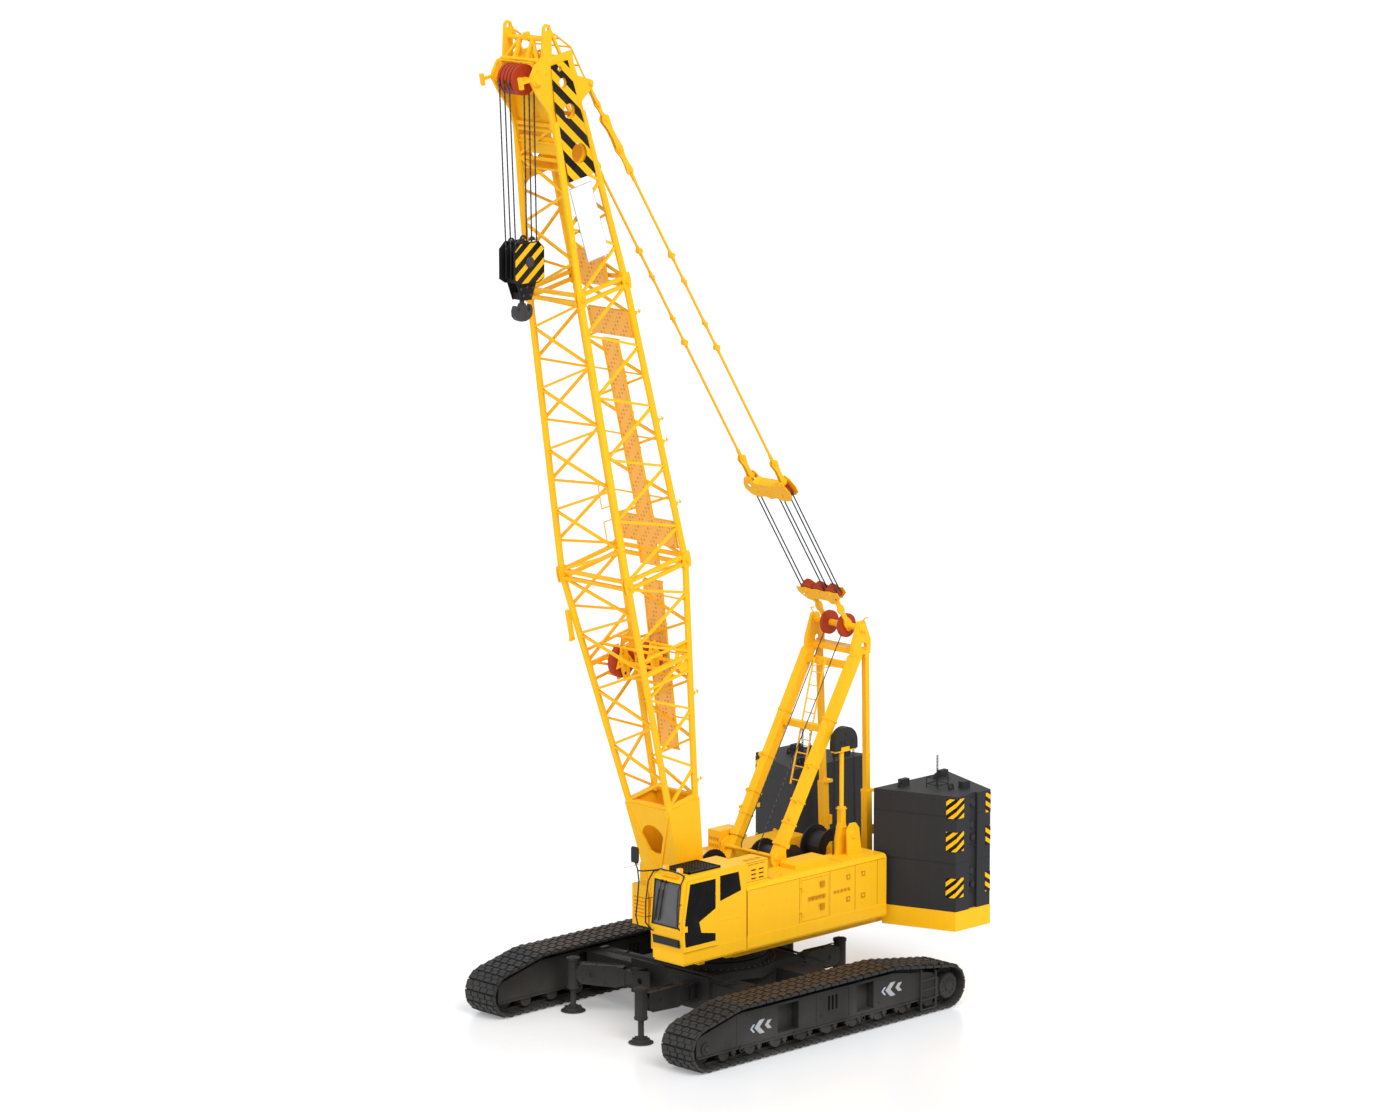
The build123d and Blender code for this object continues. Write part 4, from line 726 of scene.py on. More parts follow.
# ================= hook block =================
x0, x1, _, _, _, BLOCK_TOP = span("hook_block")
BLOCK_X, CHEEK_Y, SHEAVE_Z = (x0 + x1) / 2, .23, BLOCK_TOP - .40
x0, x1, _, _, z0, z1 = span("head_sheaves")
HEAD_X, HEAD_Z = (x0 + x1) / 2, (z0 + z1) / 2
HEAD_ROPE, BLOCK_ROPE = .328, .277            # ropes before and behind the sheaves' middles
CHEEK = ((-.25, 0), (.25, 0), (.40, -.14), (.40, -.74), (.25, -.83), (-.25, -.83), (-.40, -.74), (-.40, -.14))
CHEEK_MIDDLE, SHRINK = .415, .95
cheek = [(BLOCK_X + u * SHRINK, BLOCK_TOP - CHEEK_MIDDLE + (v + CHEEK_MIDDLE) * SHRINK) for u, v in CHEEK]
striped, steel = Shape(), Shape()
for side in SIDES:
    striped.sheet(cheek, [(BLOCK_X, SHEAVE_Z, .095)], .010, stood(side * (CHEEK_Y + .005)))
    steel.turned((BLOCK_X, side * CHEEK_Y, SHEAVE_Z), (0, side, 0),
                 [(0, .11), (.020, .11), (.030, .09), (.045, .085), (.050, .03)], 18)
    for x, z, eye in ((-.16, .01, .04), (.16, -.01, .03)):
        steel.sheet(arc(BLOCK_X + x, BLOCK_TOP + z, .085, 0, 180, 8),
                    [(BLOCK_X + x, BLOCK_TOP + eye, .025)], .03, stood(side * .13))
    for x, z in ((-.16, -.93), (.16, -.93), (-.10, -1.07), (.10, -1.07), (0, -.90)):
        steel.stud((BLOCK_X + x, side * .14, BLOCK_TOP + z), (0, side, 0), .030, .020, .020, 8, .006)
falls = [((HEAD_X + side * HEAD_ROPE, y, HEAD_Z), (BLOCK_X + side * BLOCK_ROPE, y, SHEAVE_Z))
         for side in SIDES for y in (-.144, 0, .144)]
taut("hoist_ropes", falls, "hoist_falls")
striped.done("block_stripes", "block_board", "block", .002)
steel.done("block_fittings", "hook", "block")


# ================= ballast =================
FRONT_IN, FRONT_OUT, REAR_OUT, REAR_IN = (-3.52, 1.18), (-4.15, 2.98), (-5.20, 2.98), (-5.80, 1.18)
GROOVE_X = (FRONT_OUT[0] + REAR_OUT[0]) / 2
SLAB_JOINTS, BALLAST_TOP = (2.94, 3.94), 4.39
PATCHES = ((3.91, 4.33), (3.20, 3.62), (2.20, 2.62))
PATCH_T, JOINT_H = .008, .007


def toward(a, b, d):
    ln = math.dist(a, b)
    return a[0] + (b[0] - a[0]) * d / ln, a[1] + (b[1] - a[1]) * d / ln


def outward(xa, ya, xb, yb):
    """The wall's outer normal, a patch's thickness long."""
    nx, ny = yb - ya, xa - xb
    k = PATCH_T / math.hypot(nx, ny)
    if ny < 0 or (abs(ny) < 1e-6 and nx < 0):
        k = -k
    return nx * k, ny * k


def wall(lot, a, b, side, z0, z1, run):
    """A thin plate that stands on the line from a to b."""
    (xa, ya), (xb, yb) = a, b
    lot.prism([(xa, side * ya, z0), (xb, side * yb, z0), (xb, side * yb, z1), (xa, side * ya, z1)], run)


rise, fall, dark, joints = Shape(), Shape(), Shape(), Shape()
for side in SIDES:
    for lot, one, corner, two, wide in ((rise, FRONT_IN, FRONT_OUT, REAR_OUT, .23),
                                        (fall, FRONT_OUT, REAR_OUT, REAR_IN, .15)):
        ends = [toward(corner, one, wide), corner, toward(corner, two, wide)]
        for a, b in zip(ends, ends[1:]):
            nx, ny = outward(*a, *b)
            for z0, z1 in PATCHES:
                wall(lot, a, b, side, z0, z1, (nx, side * ny, 0))
    # pins and rungs in the groove
    for z in (4.22, 3.72, 2.72):
        dark.stud((GROOVE_X + .04, side * 2.91, z), (0, side, 0), .075, .055, .060, 14, .009)
    for z in (2.25, 3.25, 3.45):
        dark.tube([(GROOVE_X - .11, side * 2.945, z), (GROOVE_X + .11, side * 2.945, z)], .012, 6)
    # slim bands that mark the joints between the slabs
    for z in SLAB_JOINTS:
        for a, b, out in ((FRONT_IN, FRONT_OUT, .004), (REAR_OUT, REAR_IN, -.004)):
            wall(joints, a, b, side, z - JOINT_H, z + JOINT_H, (out, side * .001, 0))
        for xa, xb in ((FRONT_OUT[0], GROOVE_X + .125), (GROOVE_X - .125, REAR_OUT[0])):
            joints.box(xb, xa, side * 2.981 - .002, side * 2.981 + .002, z - JOINT_H, z + JOINT_H)
# lamps along the rear edge of the tray
for side in SIDES:
    for y in (1.5, 2.0, 2.5):
        x = REAR_IN[0] + (REAR_OUT[0] - REAR_IN[0]) * (y - REAR_IN[1]) / (REAR_OUT[1] - REAR_IN[1])
        dark.prism([(x - .005, side * (y - .05), 1.62), (x + .012, side * (y + .05), 1.62),
                    (x + .012, side * (y + .05), 1.74), (x - .005, side * (y - .05), 1.74)], (-.02, 0, 0))
rise.done("ballast_patches_front", "patch_rise")
fall.done("ballast_patches_rear", "patch_fall")
joints.done("ballast_joints", "rubber")
# eyes on top, and a square frame with a cross bar on each stack
for x, y in ((-4.0, 1.5), (-5.1, 1.5), (-4.6, 2.4), (-4.0, -1.5), (-5.1, -1.5), (-4.6, -2.4)):
    dark.sheet(arc(x, BALLAST_TOP + .06, .07, 0, 180, 8) + [(x - .07, BALLAST_TOP), (x + .07, BALLAST_TOP)],
               [(x, BALLAST_TOP + .06, .035)], .03, stood(y))
FRAME_X, STACK_Y, FRAME_HALF = -4.6, 2.0, .16
CORNERS = [(u * FRAME_HALF, v * FRAME_HALF) for u, v in ((-1, -1), (1, -1), (1, 1), (-1, 1))]
for side in SIDES:
    y = side * STACK_Y
    for z in (BALLAST_TOP + .06, BALLAST_TOP + .20):
        dark.tube([(FRAME_X + u, y + v, z) for u, v in CORNERS], .012, 6, True)
    for u, v in CORNERS:
        dark.tube([(FRAME_X + u, y + v, BALLAST_TOP), (FRAME_X + u, y + v, BALLAST_TOP + .21)], .012, 6)
    dark.tube([(FRAME_X, y - FRAME_HALF, BALLAST_TOP + .20), (FRAME_X, y + FRAME_HALF, BALLAST_TOP + .20)],
              .010, 6)
dark.done("ballast_fittings", "ballast")


# ================= track frames =================
FACE_Y, WEB_Y, STEP_Y = 3.30, 3.31, 3.365     # arrows, web behind the fittings, steps


def chevron(tip, mid, wide, high, thick):
    return [(tip, mid), (tip - wide, mid + high), (tip - wide - thick, mid + high), (tip - thick, mid),
            (tip - wide - thick, mid - high), (tip - wide, mid - high)]


grey, blue, trim, steps = Shape(), Shape(), Shape(), Shape()
for side in SIDES:
    y, out = side * FACE_Y, (0, side, 0)
    for shift, lift in ((0, 0), (-3.84, .06)):
        for lot, tip, mid, *sizes in ((blue, 2.27, .66, .085, .085, .055),
                                      (grey, 2.15, .665, .150, .145, .150),
                                      (grey, 1.85, .675, .085, .090, .110)):
            lot.side(chevron(tip + shift, mid + lift, *sizes), y, y + side * .004)
    for x in (2.65, .35, -.60):
        trim.box(x - .006, x + .006, y - .004, y + .006, .40, 1.02)
    for x, z in ((2.95, .95), (2.95, .52), (2.35, .98), (.20, .92), (.20, .55), (-1.50, .52), (-2.45, .95),
                 (-2.45, .50)):
        trim.stud((x, y, z), out, .020, .010, .012)
    # hubs with a ring of screws, rear and front
    for x, z, r in ((-3.56, .49, .25), (3.54, .50, .13)):
        trim.turned((x, side * 3.32, z), out, [(0, r), (.014, r), (.022, r * .86), (.016, r * .80),
                                               (.016, r * .45), (.040, r * .40), (.044, r * .2)], 24)
        for c, s in around(10):
            trim.turned((x + c * r * .66, side * 3.334, z + s * r * .66), out,
                        [(0, r * .07), (.014, r * .07)], 6)
    # steps, grab rail and lashing rings
    web, ya = side * WEB_Y, side * STEP_Y
    steps.tube([(-2.70, web, 1.00), (-2.70, ya, .97), (-2.70, ya, .12), (-3.14, ya, .12), (-3.14, ya, .90),
                (-3.14, web, .93)], .024, 8)
    for z in (.33, .54, .75):
        steps.tube([(-2.70, ya, z), (-3.14, ya, z)], .020, 8)
    steps.tube([(-2.80, web, 1.04), (-2.80, ya, 1.10), (-3.26, ya, 1.08), (-3.30, web, .96)], .020, 8)
    for x in (2.55, -2.75, -1.0, 1.0):
        ring = [(x + u, side * 3.335, z) for u, z in arc(0, .285, .045, 0, 330, 11)]
        steps.tube(ring, .011, 5, closed=True)
        steps.box(x - .02, x + .02, web - .02, web + .02, .33, .37)
grey.done("track_frame_arrows", "arrow", "undercarriage")
blue.done("track_frame_arrows_front", "arrow_blue", "undercarriage")
trim.done("track_frame_fittings", "charcoal", "undercarriage")
steps.done("track_frame_steps", "rubber", "undercarriage")


# ================= centre frame and outriggers =================
JACK_ARMS = (("fl", 1.5, .78, 0), ("fr", 1.5, -.78, -60), ("rl", -1.5, .78, 180), ("rr", -1.5, -.78, 180))
JACK_REACH = 1.42                             # of a jack from its arm's pin
body = Shape()
for sx in SIDES:
    for sy in SIDES:
        body.sheet([(.30, .52), (.88, .60), (.88, .98), (.30, 1.06)], [(.60, .80, .07)], .02,
                   fronted(sx * 1.62) @ Matrix.Diagonal((sy, 1, 1, 1)))
        for u, v in ((.36, .60), (.82, .66), (.82, .92), (.36, .98)):
            body.stud((sx * 1.63, sy * u, v), (sx, 0, 0), .022, .014, .014)
    for x, z, r in ((1.30, 1.16, .022), (1.24, 1.17, .016)):
        body.tube([(sx * x, -1.9, z), (sx * (x + .04), -.9, z + .04), (sx * (x + .04), .9, z + .04),
                   (sx * x, 1.9, z)], r, 6)
    for y in (-2.2, -1.6, 1.6, 2.2):
        body.box(sx * 1.12 - .10, sx * 1.12 + .10, y - .05, y + .05, 1.13, 1.165)
body.done("centre_frame_fittings", "charcoal", "undercarriage")
for tag, x, y, ang in JACK_ARMS:
    turn = Matrix.Translation((x, y, 0)) @ Matrix.Rotation(math.radians(ang), 4, "Z")
    arm = Shape(turn)
    for side in SIDES:
        arm.sheet([(.26, .66), (.46, .60), (1.20, .63), (1.29, .70), (1.29, 1.0), (1.20, 1.05), (.46, 1.065),
                   (.26, 1.0)], [(.98, .84, .045)], .016, stood(side * .112))
        for u, z in ((.40, .72), (.40, .94), (1.18, .74), (1.18, .94), (.70, .98), (.70, .70)):
            arm.stud((u, side * .112, z), (0, side, 0), .018, .018, .012)
    arm.box(.30, 1.26, -.11, .11, 1.02, 1.04)
    arm.box(.46, 1.20, -.06, .06, .64, .66)
    arm.turned((JACK_REACH, 0, 1.10), UP, [(0, .138), (.005, .146), (.055, .146), (.064, .135), (.066, .05),
                                           (.078, .045), (.080, .02)], 18)
    arm.turned((JACK_REACH, 0, .515), UP, [(0, .130), (.002, .146), (.040, .146), (.044, .130)], 18, True)
    for c, s in around(6):
        arm.turned((JACK_REACH + c * .10, s * .10, 1.164), UP, [(0, .016), (.012, .016)], 6)
    arm.tube([(.9, 0, 1.04), (.9, 0, 1.075), (1.2, .02, 1.085), (1.30, .03, 1.06)], .014, 6)
    arm.done("jack_fittings_" + tag, "charcoal", "jack_arm_" + tag, .003)
    pad = Shape(turn @ Matrix.Translation((JACK_REACH, 0, 0)))
    for c, s in around(8):
        pad.prism([(c * d - s * half, s * d + c * half, .088) for d, half in
                   ((.10, .006), (.18, .006), (.18, -.006), (.10, -.006))], (0, 0, .030))
    pad.turned((0, 0, .004), UP, [(0, .24), (.006, .262), (.022, .262), (.028, .25), (.030, .10)], 24)
    pad.done("jack_pad_ribs_" + tag, "charcoal", "jack_pad_" + tag)


# ================= slewing ring =================
ring = Shape()
ring.turned((0, 0, 1.302), UP, [(0, 1.03), (0, 1.085), (.045, 1.085), (.05, 1.075), (.095, 1.075),
                                (.10, 1.085), (.143, 1.085), (.143, 1.03)], 48)
ring.done("slewing_ring_skirt", "charcoal")


def bolt_parts(t):
    return [t.cube((.030, .030, .022), (0, 0, 0)), t.cube((.016, .016, .030), (0, 0, .004))]


BOLTS = repeat_tree("ring_bolts", bolt_parts, "hook", "Z")
BOLT_R, BOLT_Z = 1.25, 1.19
circle = [(BOLT_R * c, BOLT_R * s, BOLT_Z) for c, s in around(48)]
grown("slewing_ring_bolts", BOLTS, circle, "undercarriage", True, Pitch=.157)


# ================= cab =================
CAB_FRONT, CAB_SIDE, CAB_TOP = 2.60, 1.60, 3.56
TOE_Z, KINK_Z, BROW_Z = 1.73, 2.44, 3.43
RAIL_R = .015


def screen_x(z):
    """The windscreen leans back above the nose, and the toe below it."""
    f = (z - KINK_Z) / (BROW_Z - KINK_Z) if z > KINK_Z else (KINK_Z - z) / (KINK_Z - TOE_Z)
    return CAB_FRONT - .10 * f


black, fine = Shape(), Shape()
for z0, z1 in ((2.49, 3.40), (2.085, 2.235)):
    black.tube([(screen_x(z) + .002, y, z) for y, z in ((.775, z0), (1.535, z0), (1.535, z1), (.775, z1))],
               .014, 6, closed=True)
for y in (.90, 1.02):                         # wipers
    fine.tube([(screen_x(3.36) + .03, y + .09, 3.38), (screen_x(2.95) + .035, y + .03, 2.95),
               (screen_x(2.62) + .02, y, 2.60)], .010, 5)
    fine.tube([(screen_x(3.2) + .018, y + .03, 3.22), (screen_x(2.58) + .018, y - .05, 2.56)], .012, 5)
    fine.box(screen_x(3.4) - .02, screen_x(3.4) + .05, y + .07, y + .11, 3.37, 3.42)
# grab rails on both corners and across the brow, with their stays
for rail in ([(2.40, 1.52, 3.575), (2.50, 1.60, 3.53), (2.66, 1.62, 3.34), (2.70, 1.62, 2.95),
              (2.70, 1.62, 2.58), (2.585, 1.58, 2.46)],
             [(2.40, .78, 3.575), (2.48, .70, 3.54), (2.62, .69, 3.36), (2.69, .69, 2.95),
              (2.70, .69, 2.50), (2.58, .74, 2.33)],
             [(2.44, .76, 3.575), (2.46, .90, 3.62), (2.46, 1.42, 3.62), (2.44, 1.54, 3.575)]):
    black.tube(rail, RAIL_R, 8)
for z in (3.0, 2.62):
    for y, foot in ((1.62, 1.575), (.69, .735)):
        black.tube([(2.69, y, z), (screen_x(z) - .01, foot, z)], .010, 6)
# mirror on its long bent rail, clear of the boom's path
black.tube([(3.08, .77, 3.88), (3.02, .79, 3.70), (2.99, .80, 3.45), (3.02, .79, 3.05), (3.05, .77, 2.72),
            (3.00, .78, 2.50), (2.58, .80, 2.33)], RAIL_R, 8)
black.tube([(3.01, .79, 3.66), (2.84, .78, 3.62), (2.44, .77, 3.575)], RAIL_R, 8)
MIRROR = ((.70, 3.84), (.86, 3.84), (.88, 3.90), (.88, 4.13), (.85, 4.17), (.71, 4.17), (.69, 4.13),
          (.69, 3.90))
black.prism([(3.06, y, z) for y, z in MIRROR], (.05, 0, 0))
# low pane's cover and the strip along the sill
black.prism([(screen_x(2.07) + .004, y, 2.075) for y in (.80, 1.51)] +
            [(screen_x(2.245) + .004, y, 2.245) for y in (1.51, .80)], (.006, 0, 0))
black.box(1.56, 1.60, CAB_SIDE - .001, CAB_SIDE + .004, 2.02, 3.42)
black.done("cab_rails_and_mirror", "rubber", bevel=.002)
fine.done("cab_wipers", "rubber")

glass = Shape()
glass.box(3.052, 3.059, .71, .86, 3.87, 4.14)
glass.done("mirror_glass", "chrome")

# roof guard: a frame of angles with crossing slats
GUARD_X0, GUARD_X1, GUARD_Y0, GUARD_Y1, GUARD_Z = 1.34, 2.24, .80, 1.50, CAB_TOP + .03
MID_X, MID_Y = (GUARD_X0 + GUARD_X1) / 2, (GUARD_Y0 + GUARD_Y1) / 2
SLATS, SLAT_STEP = 29, .085
guard = Shape()
for xa, xb, ya, yb in ((GUARD_X0, GUARD_X1, GUARD_Y0, GUARD_Y0 + .03),
                       (GUARD_X0, GUARD_X1, GUARD_Y1 - .03, GUARD_Y1),
                       (GUARD_X0, GUARD_X0 + .03, GUARD_Y0, GUARD_Y1),
                       (GUARD_X1 - .03, GUARD_X1, GUARD_Y0, GUARD_Y1), (1.77, 1.80, GUARD_Y0, GUARD_Y1)):
    guard.box(xa, xb, ya, yb, GUARD_Z - .03, GUARD_Z + .02)
for sign in SIDES:
    for k in range(SLATS):
        ends = []
        for y in (GUARD_Y0, GUARD_Y1):
            x = MID_X - 1.2 + k * SLAT_STEP + sign * (y - MID_Y)
            if x < GUARD_X0:
                y, x = y + sign * (GUARD_X0 - x), GUARD_X0
            if x > GUARD_X1:
                y, x = y - sign * (x - GUARD_X1), GUARD_X1
            ends.append((x, y))
        (xa, ya), (xb, yb) = ends
        if GUARD_Y0 <= ya <= GUARD_Y1 and GUARD_Y0 <= yb <= GUARD_Y1 and yb - ya > .02:
            z = GUARD_Z - .012
            guard.prism([(xa - .010, ya, z), (xa + .010, ya, z), (xb + .010, yb, z), (xb - .010, yb, z)],
                        (0, 0, .022))
guard.done("cab_roof_guard", "rubber")

bright, lens = Shape(), Shape()
for y in (.92, 1.33):
    bright.box(2.29, 2.39, y - .05, y + .05, CAB_TOP + .02, CAB_TOP + .12)
    bright.box(2.32, 2.36, y - .02, y + .02, CAB_TOP - .01, CAB_TOP + .03)
    lens.box(2.388, 2.396, y - .04, y + .04, CAB_TOP + .03, CAB_TOP + .11)
bright.box(2.33, 2.50, .98, 1.40, 3.515, 3.535)
# crease behind the door
bright.side([(.80, 2.44), (1.50, 2.475), (1.50, 2.500), (.80, 2.465)], CAB_SIDE - .004, CAB_SIDE + .004)
bright.done("cab_fittings", "yellow", bevel=.004)
lens.done("cab_lamp_lenses", "lamp")
latch = Shape()
latch.box(2.44, 2.53, 1.640, 1.665, 2.42, 2.54)
latch.box(1.60, 1.66, 1.640, 1.660, 2.60, 2.72)
latch.done("cab_door_latch", "yellow", "cab_door", .004)


# ================= houses =================
HOUSE_Y, DOOR_Y, ROOF_Z = 1.60, 1.634, 3.05
SLOT_STEP = .105


def louvres(lot, x0, y, side, back):
    """Five slots in a row, rearward from x0."""
    for k in range(5):
        x = x0 - k * SLOT_STEP
        lot.box(x - .035, x + .035, y - back, y + side * .002, 2.45, 2.515)


seams, dark, knobs = Shape(), Shape(), Shape()
for side in SIDES:
    y = side * HOUSE_Y
    for x in (.655, -.875, -1.775, -2.53, -3.20):
        if side > 0 or x < .6:
            seams.box(x - .006, x + .006, y - .004, y + side * .0025, 2.0, 2.96)
    seams.box(-3.44, .60 if side > 0 else 1.15, y - .004, y + side * .0025, 2.960, 2.968)
    louvres(dark, -1.92, y, side, .012)
    for x in (-2.33, -2.78):
        for z in (2.27, 2.74):
            dark.box(x - .055, x + .055, y - .012, y + side * .002, z - .055, z + .055)
            knobs.stud((x, y - side * .006, z), (0, side, 0), .030, .012, .018, 10)
    for x in (-.5, .2):
        knobs.stud((x, y, 2.60), (0, side, 0), .022, .010, .012, 10)
# cooler behind the cab
COOLER_X0, COOLER_X1, COOLER_Y, COOLER_TOP = -.04, .64, 1.50, 3.53
for k in range(3):
    x = COOLER_X0 + .10 + k * .17
    dark.box(x, x + .13, COOLER_Y + .001, COOLER_Y + .006, 3.455, 3.475)
    dark.box(x, x + .13, 1.30, 1.42, COOLER_TOP - .001, COOLER_TOP + .003)
for xa, xb, za, zb in ((COOLER_X0, COOLER_X1, 3.505, 3.515), (COOLER_X0, COOLER_X1, 3.10, 3.11),
                       (COOLER_X0, COOLER_X0 + .008, 3.10, 3.51), (COOLER_X1 - .008, COOLER_X1, 3.10, 3.51)):
    seams.box(xa, xb, COOLER_Y - .002, COOLER_Y + .003, za, zb)
seams.done("house_seams", "seam")
# the slots and recessed boxes are flat dark amber patches: painted shade
dark.done("house_recess_painted_shade", "recess")
for tag, side in (("left", 1), ("right", -1)):
    door = Shape()
    y = side * DOOR_Y
    louvres(door, -1.16, y, side, .010)
    for z in (2.26, 2.74):
        door.box(-1.59, -1.47, y - .010, y + side * .002, z - .06, z + .06)
    # the door's slots and recesses are flat dark amber patches: painted shade
    door.done("house_door_recess_painted_shade_" + tag, "recess", "door_" + tag)
# lifting eyes and lids on the roofs
for x, y in ((-3.2, 1.45), (.30, .95), (-.4, 1.45), (-3.2, -1.45), (.9, -1.45), (-.4, -1.45)):
    knobs.sheet(arc(x, 3.075, .045, 0, 180, 6) + [(x - .045, 3.03), (x + .045, 3.03)], [(x, 3.08, .020)],
                .022, stood(y))
for x0, x1, y0, y1 in ((-.90, -.20, 1.02, 1.48), (-2.95, -2.25, 1.10, 1.50), (-.60, .80, -1.45, -.95)):
    knobs.box(x0, x1, y0, y1, ROOF_Z - .01, ROOF_Z + .022)
    knobs.box((x0 + x1) / 2 - .05, (x0 + x1) / 2 + .05, y1 - .06, y1 - .02, ROOF_Z + .02, ROOF_Z + .05)
knobs.done("house_fittings", "yellow", bevel=.003)


# ================= winches and seat =================
def winding_tree():
    """Rope laid in close turns on a drum: a spiral with a round section."""
    t = Nodes("rope_turns", (("Radius", .3), ("Width", .6), ("Turns", 12.0), ("Rope", .02)))
    given = t.gi.outputs
    coil = t.add("GeometryNodeCurveSpiral", {"Resolution": 20, "Rotations": given["Turns"],
                                             "Height": given["Width"], "Start Radius": given["Radius"],
                                             "End Radius": given["Radius"]})
    turn = t.add("GeometryNodeTransform", {"Geometry": coil.outputs[0], "Rotation": (-math.pi / 2, 0, 0)})
    ring = t.add("GeometryNodeCurvePrimitiveCircle", {"Resolution": 5, "Radius": given["Rope"]})
    body = t.add("GeometryNodeCurveToMesh", {"Curve": turn.outputs[0], "Profile Curve": ring.outputs[0]})
    return t.finish(body.outputs[0], "rope")


TURNS = winding_tree()
ROPE_LAY, TEETH = .042, 32
for tag in ("front", "rear", "luff"):
    x0, x1, y0, y1, z0, z1 = span("winch_" + tag)
    cx, cz, r = (x0 + x1) / 2, (z0 + z1) / 2, (x1 - x0) / 2
    half = (y1 - y0) / 2 - .09
    coil = grown("winch_rope_" + tag, TURNS, [(0, 0, 0), (0, .01, 0)], "drum_" + tag, Radius=r * .64,
                 Width=half * 2, Turns=float(round(half * 2 / ROPE_LAY)), Rope=ROPE_LAY / 2)
    coil.data.transform(Matrix.Translation((cx, -half, cz)))
    rim = Shape()
    for side in SIDES:
        y = side * (y1 - .002)
        rim.turned((cx, y, cz), (0, side, 0), [(0, .14), (.012, .14), (.018, .11), (.018, .07), (.05, .06),
                                               (.054, .03)], 18)
        for c, s in around(8):
            rim.stud((cx + c * r * .72, y, cz + s * r * .72), (0, side, 0), .022, .012, .014)
    # toothed ring inside one flange
    teeth = []
    for k in range(TEETH):
        for f, out in ((0, .975), (.2, 1.03), (.5, 1.03), (.7, .975)):
            a = 2 * math.pi * (k + f) / TEETH
            teeth.append((cx + math.cos(a) * r * out, cz + math.sin(a) * r * out))
    rim.sheet(teeth, [(cx, cz, r * .90)], .022, stood(-y1 + .030))
    rim.done("winch_fittings_" + tag, "winch", "drum_" + tag)
pads = Shape()
for sizes in ((1.32, 1.88, .88, 1.42, 2.255, 2.36), (1.22, 1.36, .88, 1.42, 2.30, 2.98),
              (1.24, 1.34, 1.00, 1.30, 2.99, 3.20), (1.45, 1.85, .78, .86, 2.42, 2.50),
              (1.45, 1.85, 1.44, 1.52, 2.42, 2.50), (1.80, 1.90, .76, .84, 2.50, 2.62)):
    pads.box(*sizes)
pads.done("cab_seat_pads", "seat", bevel=.03)


# ================= small hoist, chains =================
POST_X, POST_Y = -2.83, .90
DRUM_X, DRUM_Z = POST_X - .06, 5.44
hood = Shape()
HOOD_FOOT = ((-.395, 5.285), (-.17, 5.285), (-.17, 5.36), (.10, 5.36), (.10, 5.285), (.275, 5.285))
hood.side(arc(DRUM_X, DRUM_Z, .335, 0, 180, 14) + [(POST_X + x, z) for x, z in HOOD_FOOT],
          POST_Y - .088, POST_Y + .088)
for x, z in ((0, 5.62), (-.20, 5.46), (.14, 5.46)):
    hood.stud((DRUM_X + x, POST_Y + .088, z), ACROSS, .030, .012, .018, 10)
hood.stud((DRUM_X, POST_Y - .10, DRUM_Z), ACROSS, .06, .20, .04, 14, .01)
hood.done("hoist_head", "winch", bevel=.004)
sleeve = Shape()
for half, z0, z1 in ((.066, 3.55, 4.06), (.084, 3.60, 3.63), (.084, 4.0, 4.03)):
    sleeve.box(POST_X - half, POST_X + half, POST_Y - half, POST_Y + half, z0, z1)
sleeve.sheet([(-2.72, 3.04), (-3.14, 3.04), (-3.06, 3.62), (-2.96, 3.74), (-2.80, 3.74), (-2.70, 3.60)],
             [(-2.90, 3.50, .055)], .05, stood(1.18))
sleeve.pin((-2.90, 1.13, 3.50), ACROSS, .10, .095, .09, .015, 16)
sleeve.done("hoist_post_sleeve", "yellow", bevel=.004)


def link_parts(t):
    """Two links of a chain, one flat and one on edge."""
    parts = []
    for shift, flat in ((-.036, True), (.036, False)):
        for u, v, ln, wide in ((0, .017, .075, .012), (0, -.017, .075, .012), (.034, 0, .012, .034),
                               (-.034, 0, .012, .034)):
            parts.append(t.cube((ln, wide, .012) if flat else (ln, .012, wide),
                                (shift + u, v, 0) if flat else (shift + u, 0, v)))
    return parts


CHAIN = repeat_tree("chain", link_parts, "winch")
for name, top, low in (("hoist_chain_front", (POST_X + .23, POST_Y, 5.30), (POST_X + .24, POST_Y, 3.10)),
                       ("hoist_chain_rear", (POST_X - .35, POST_Y, 5.30), (POST_X - .42, POST_Y, 3.10)),
                       ("gantry_chain", (-2.80, 0, 5.62), (-2.80, 0, 5.22)),
                       ("ballast_chain_left", (FRAME_X, STACK_Y, 4.40), (FRAME_X, STACK_Y, 4.99)),
                       ("ballast_chain_right", (FRAME_X, -STACK_Y, 4.40), (FRAME_X, -STACK_Y, 4.99))):
    grown(name, CHAIN, [top, low], "superstructure", Pitch=.134)


# ================= gantry =================
FOOT, TOP = Vector((-.39, 0, 1.90)), Vector((-3.55, 0, 7.35))
SLOPE = math.atan2((TOP - FOOT).x, (TOP - FOOT).z)
LADDER_X, LADDER_Z, LADDER_LEAN, LADDER_Y = -2.37, 4.45, .267, .16
RUNGS, RUNG_STEP = 9, .28
CLEVIS_X, CLEVIS_Z = -1.02, 3.24


def leg_at(z):
    return FOOT.x + (TOP.x - FOOT.x) * (z - FOOT.z) / (TOP.z - FOOT.z)


def ladder_at(z):
    return LADDER_X - (z - LADDER_Z) * LADDER_LEAN


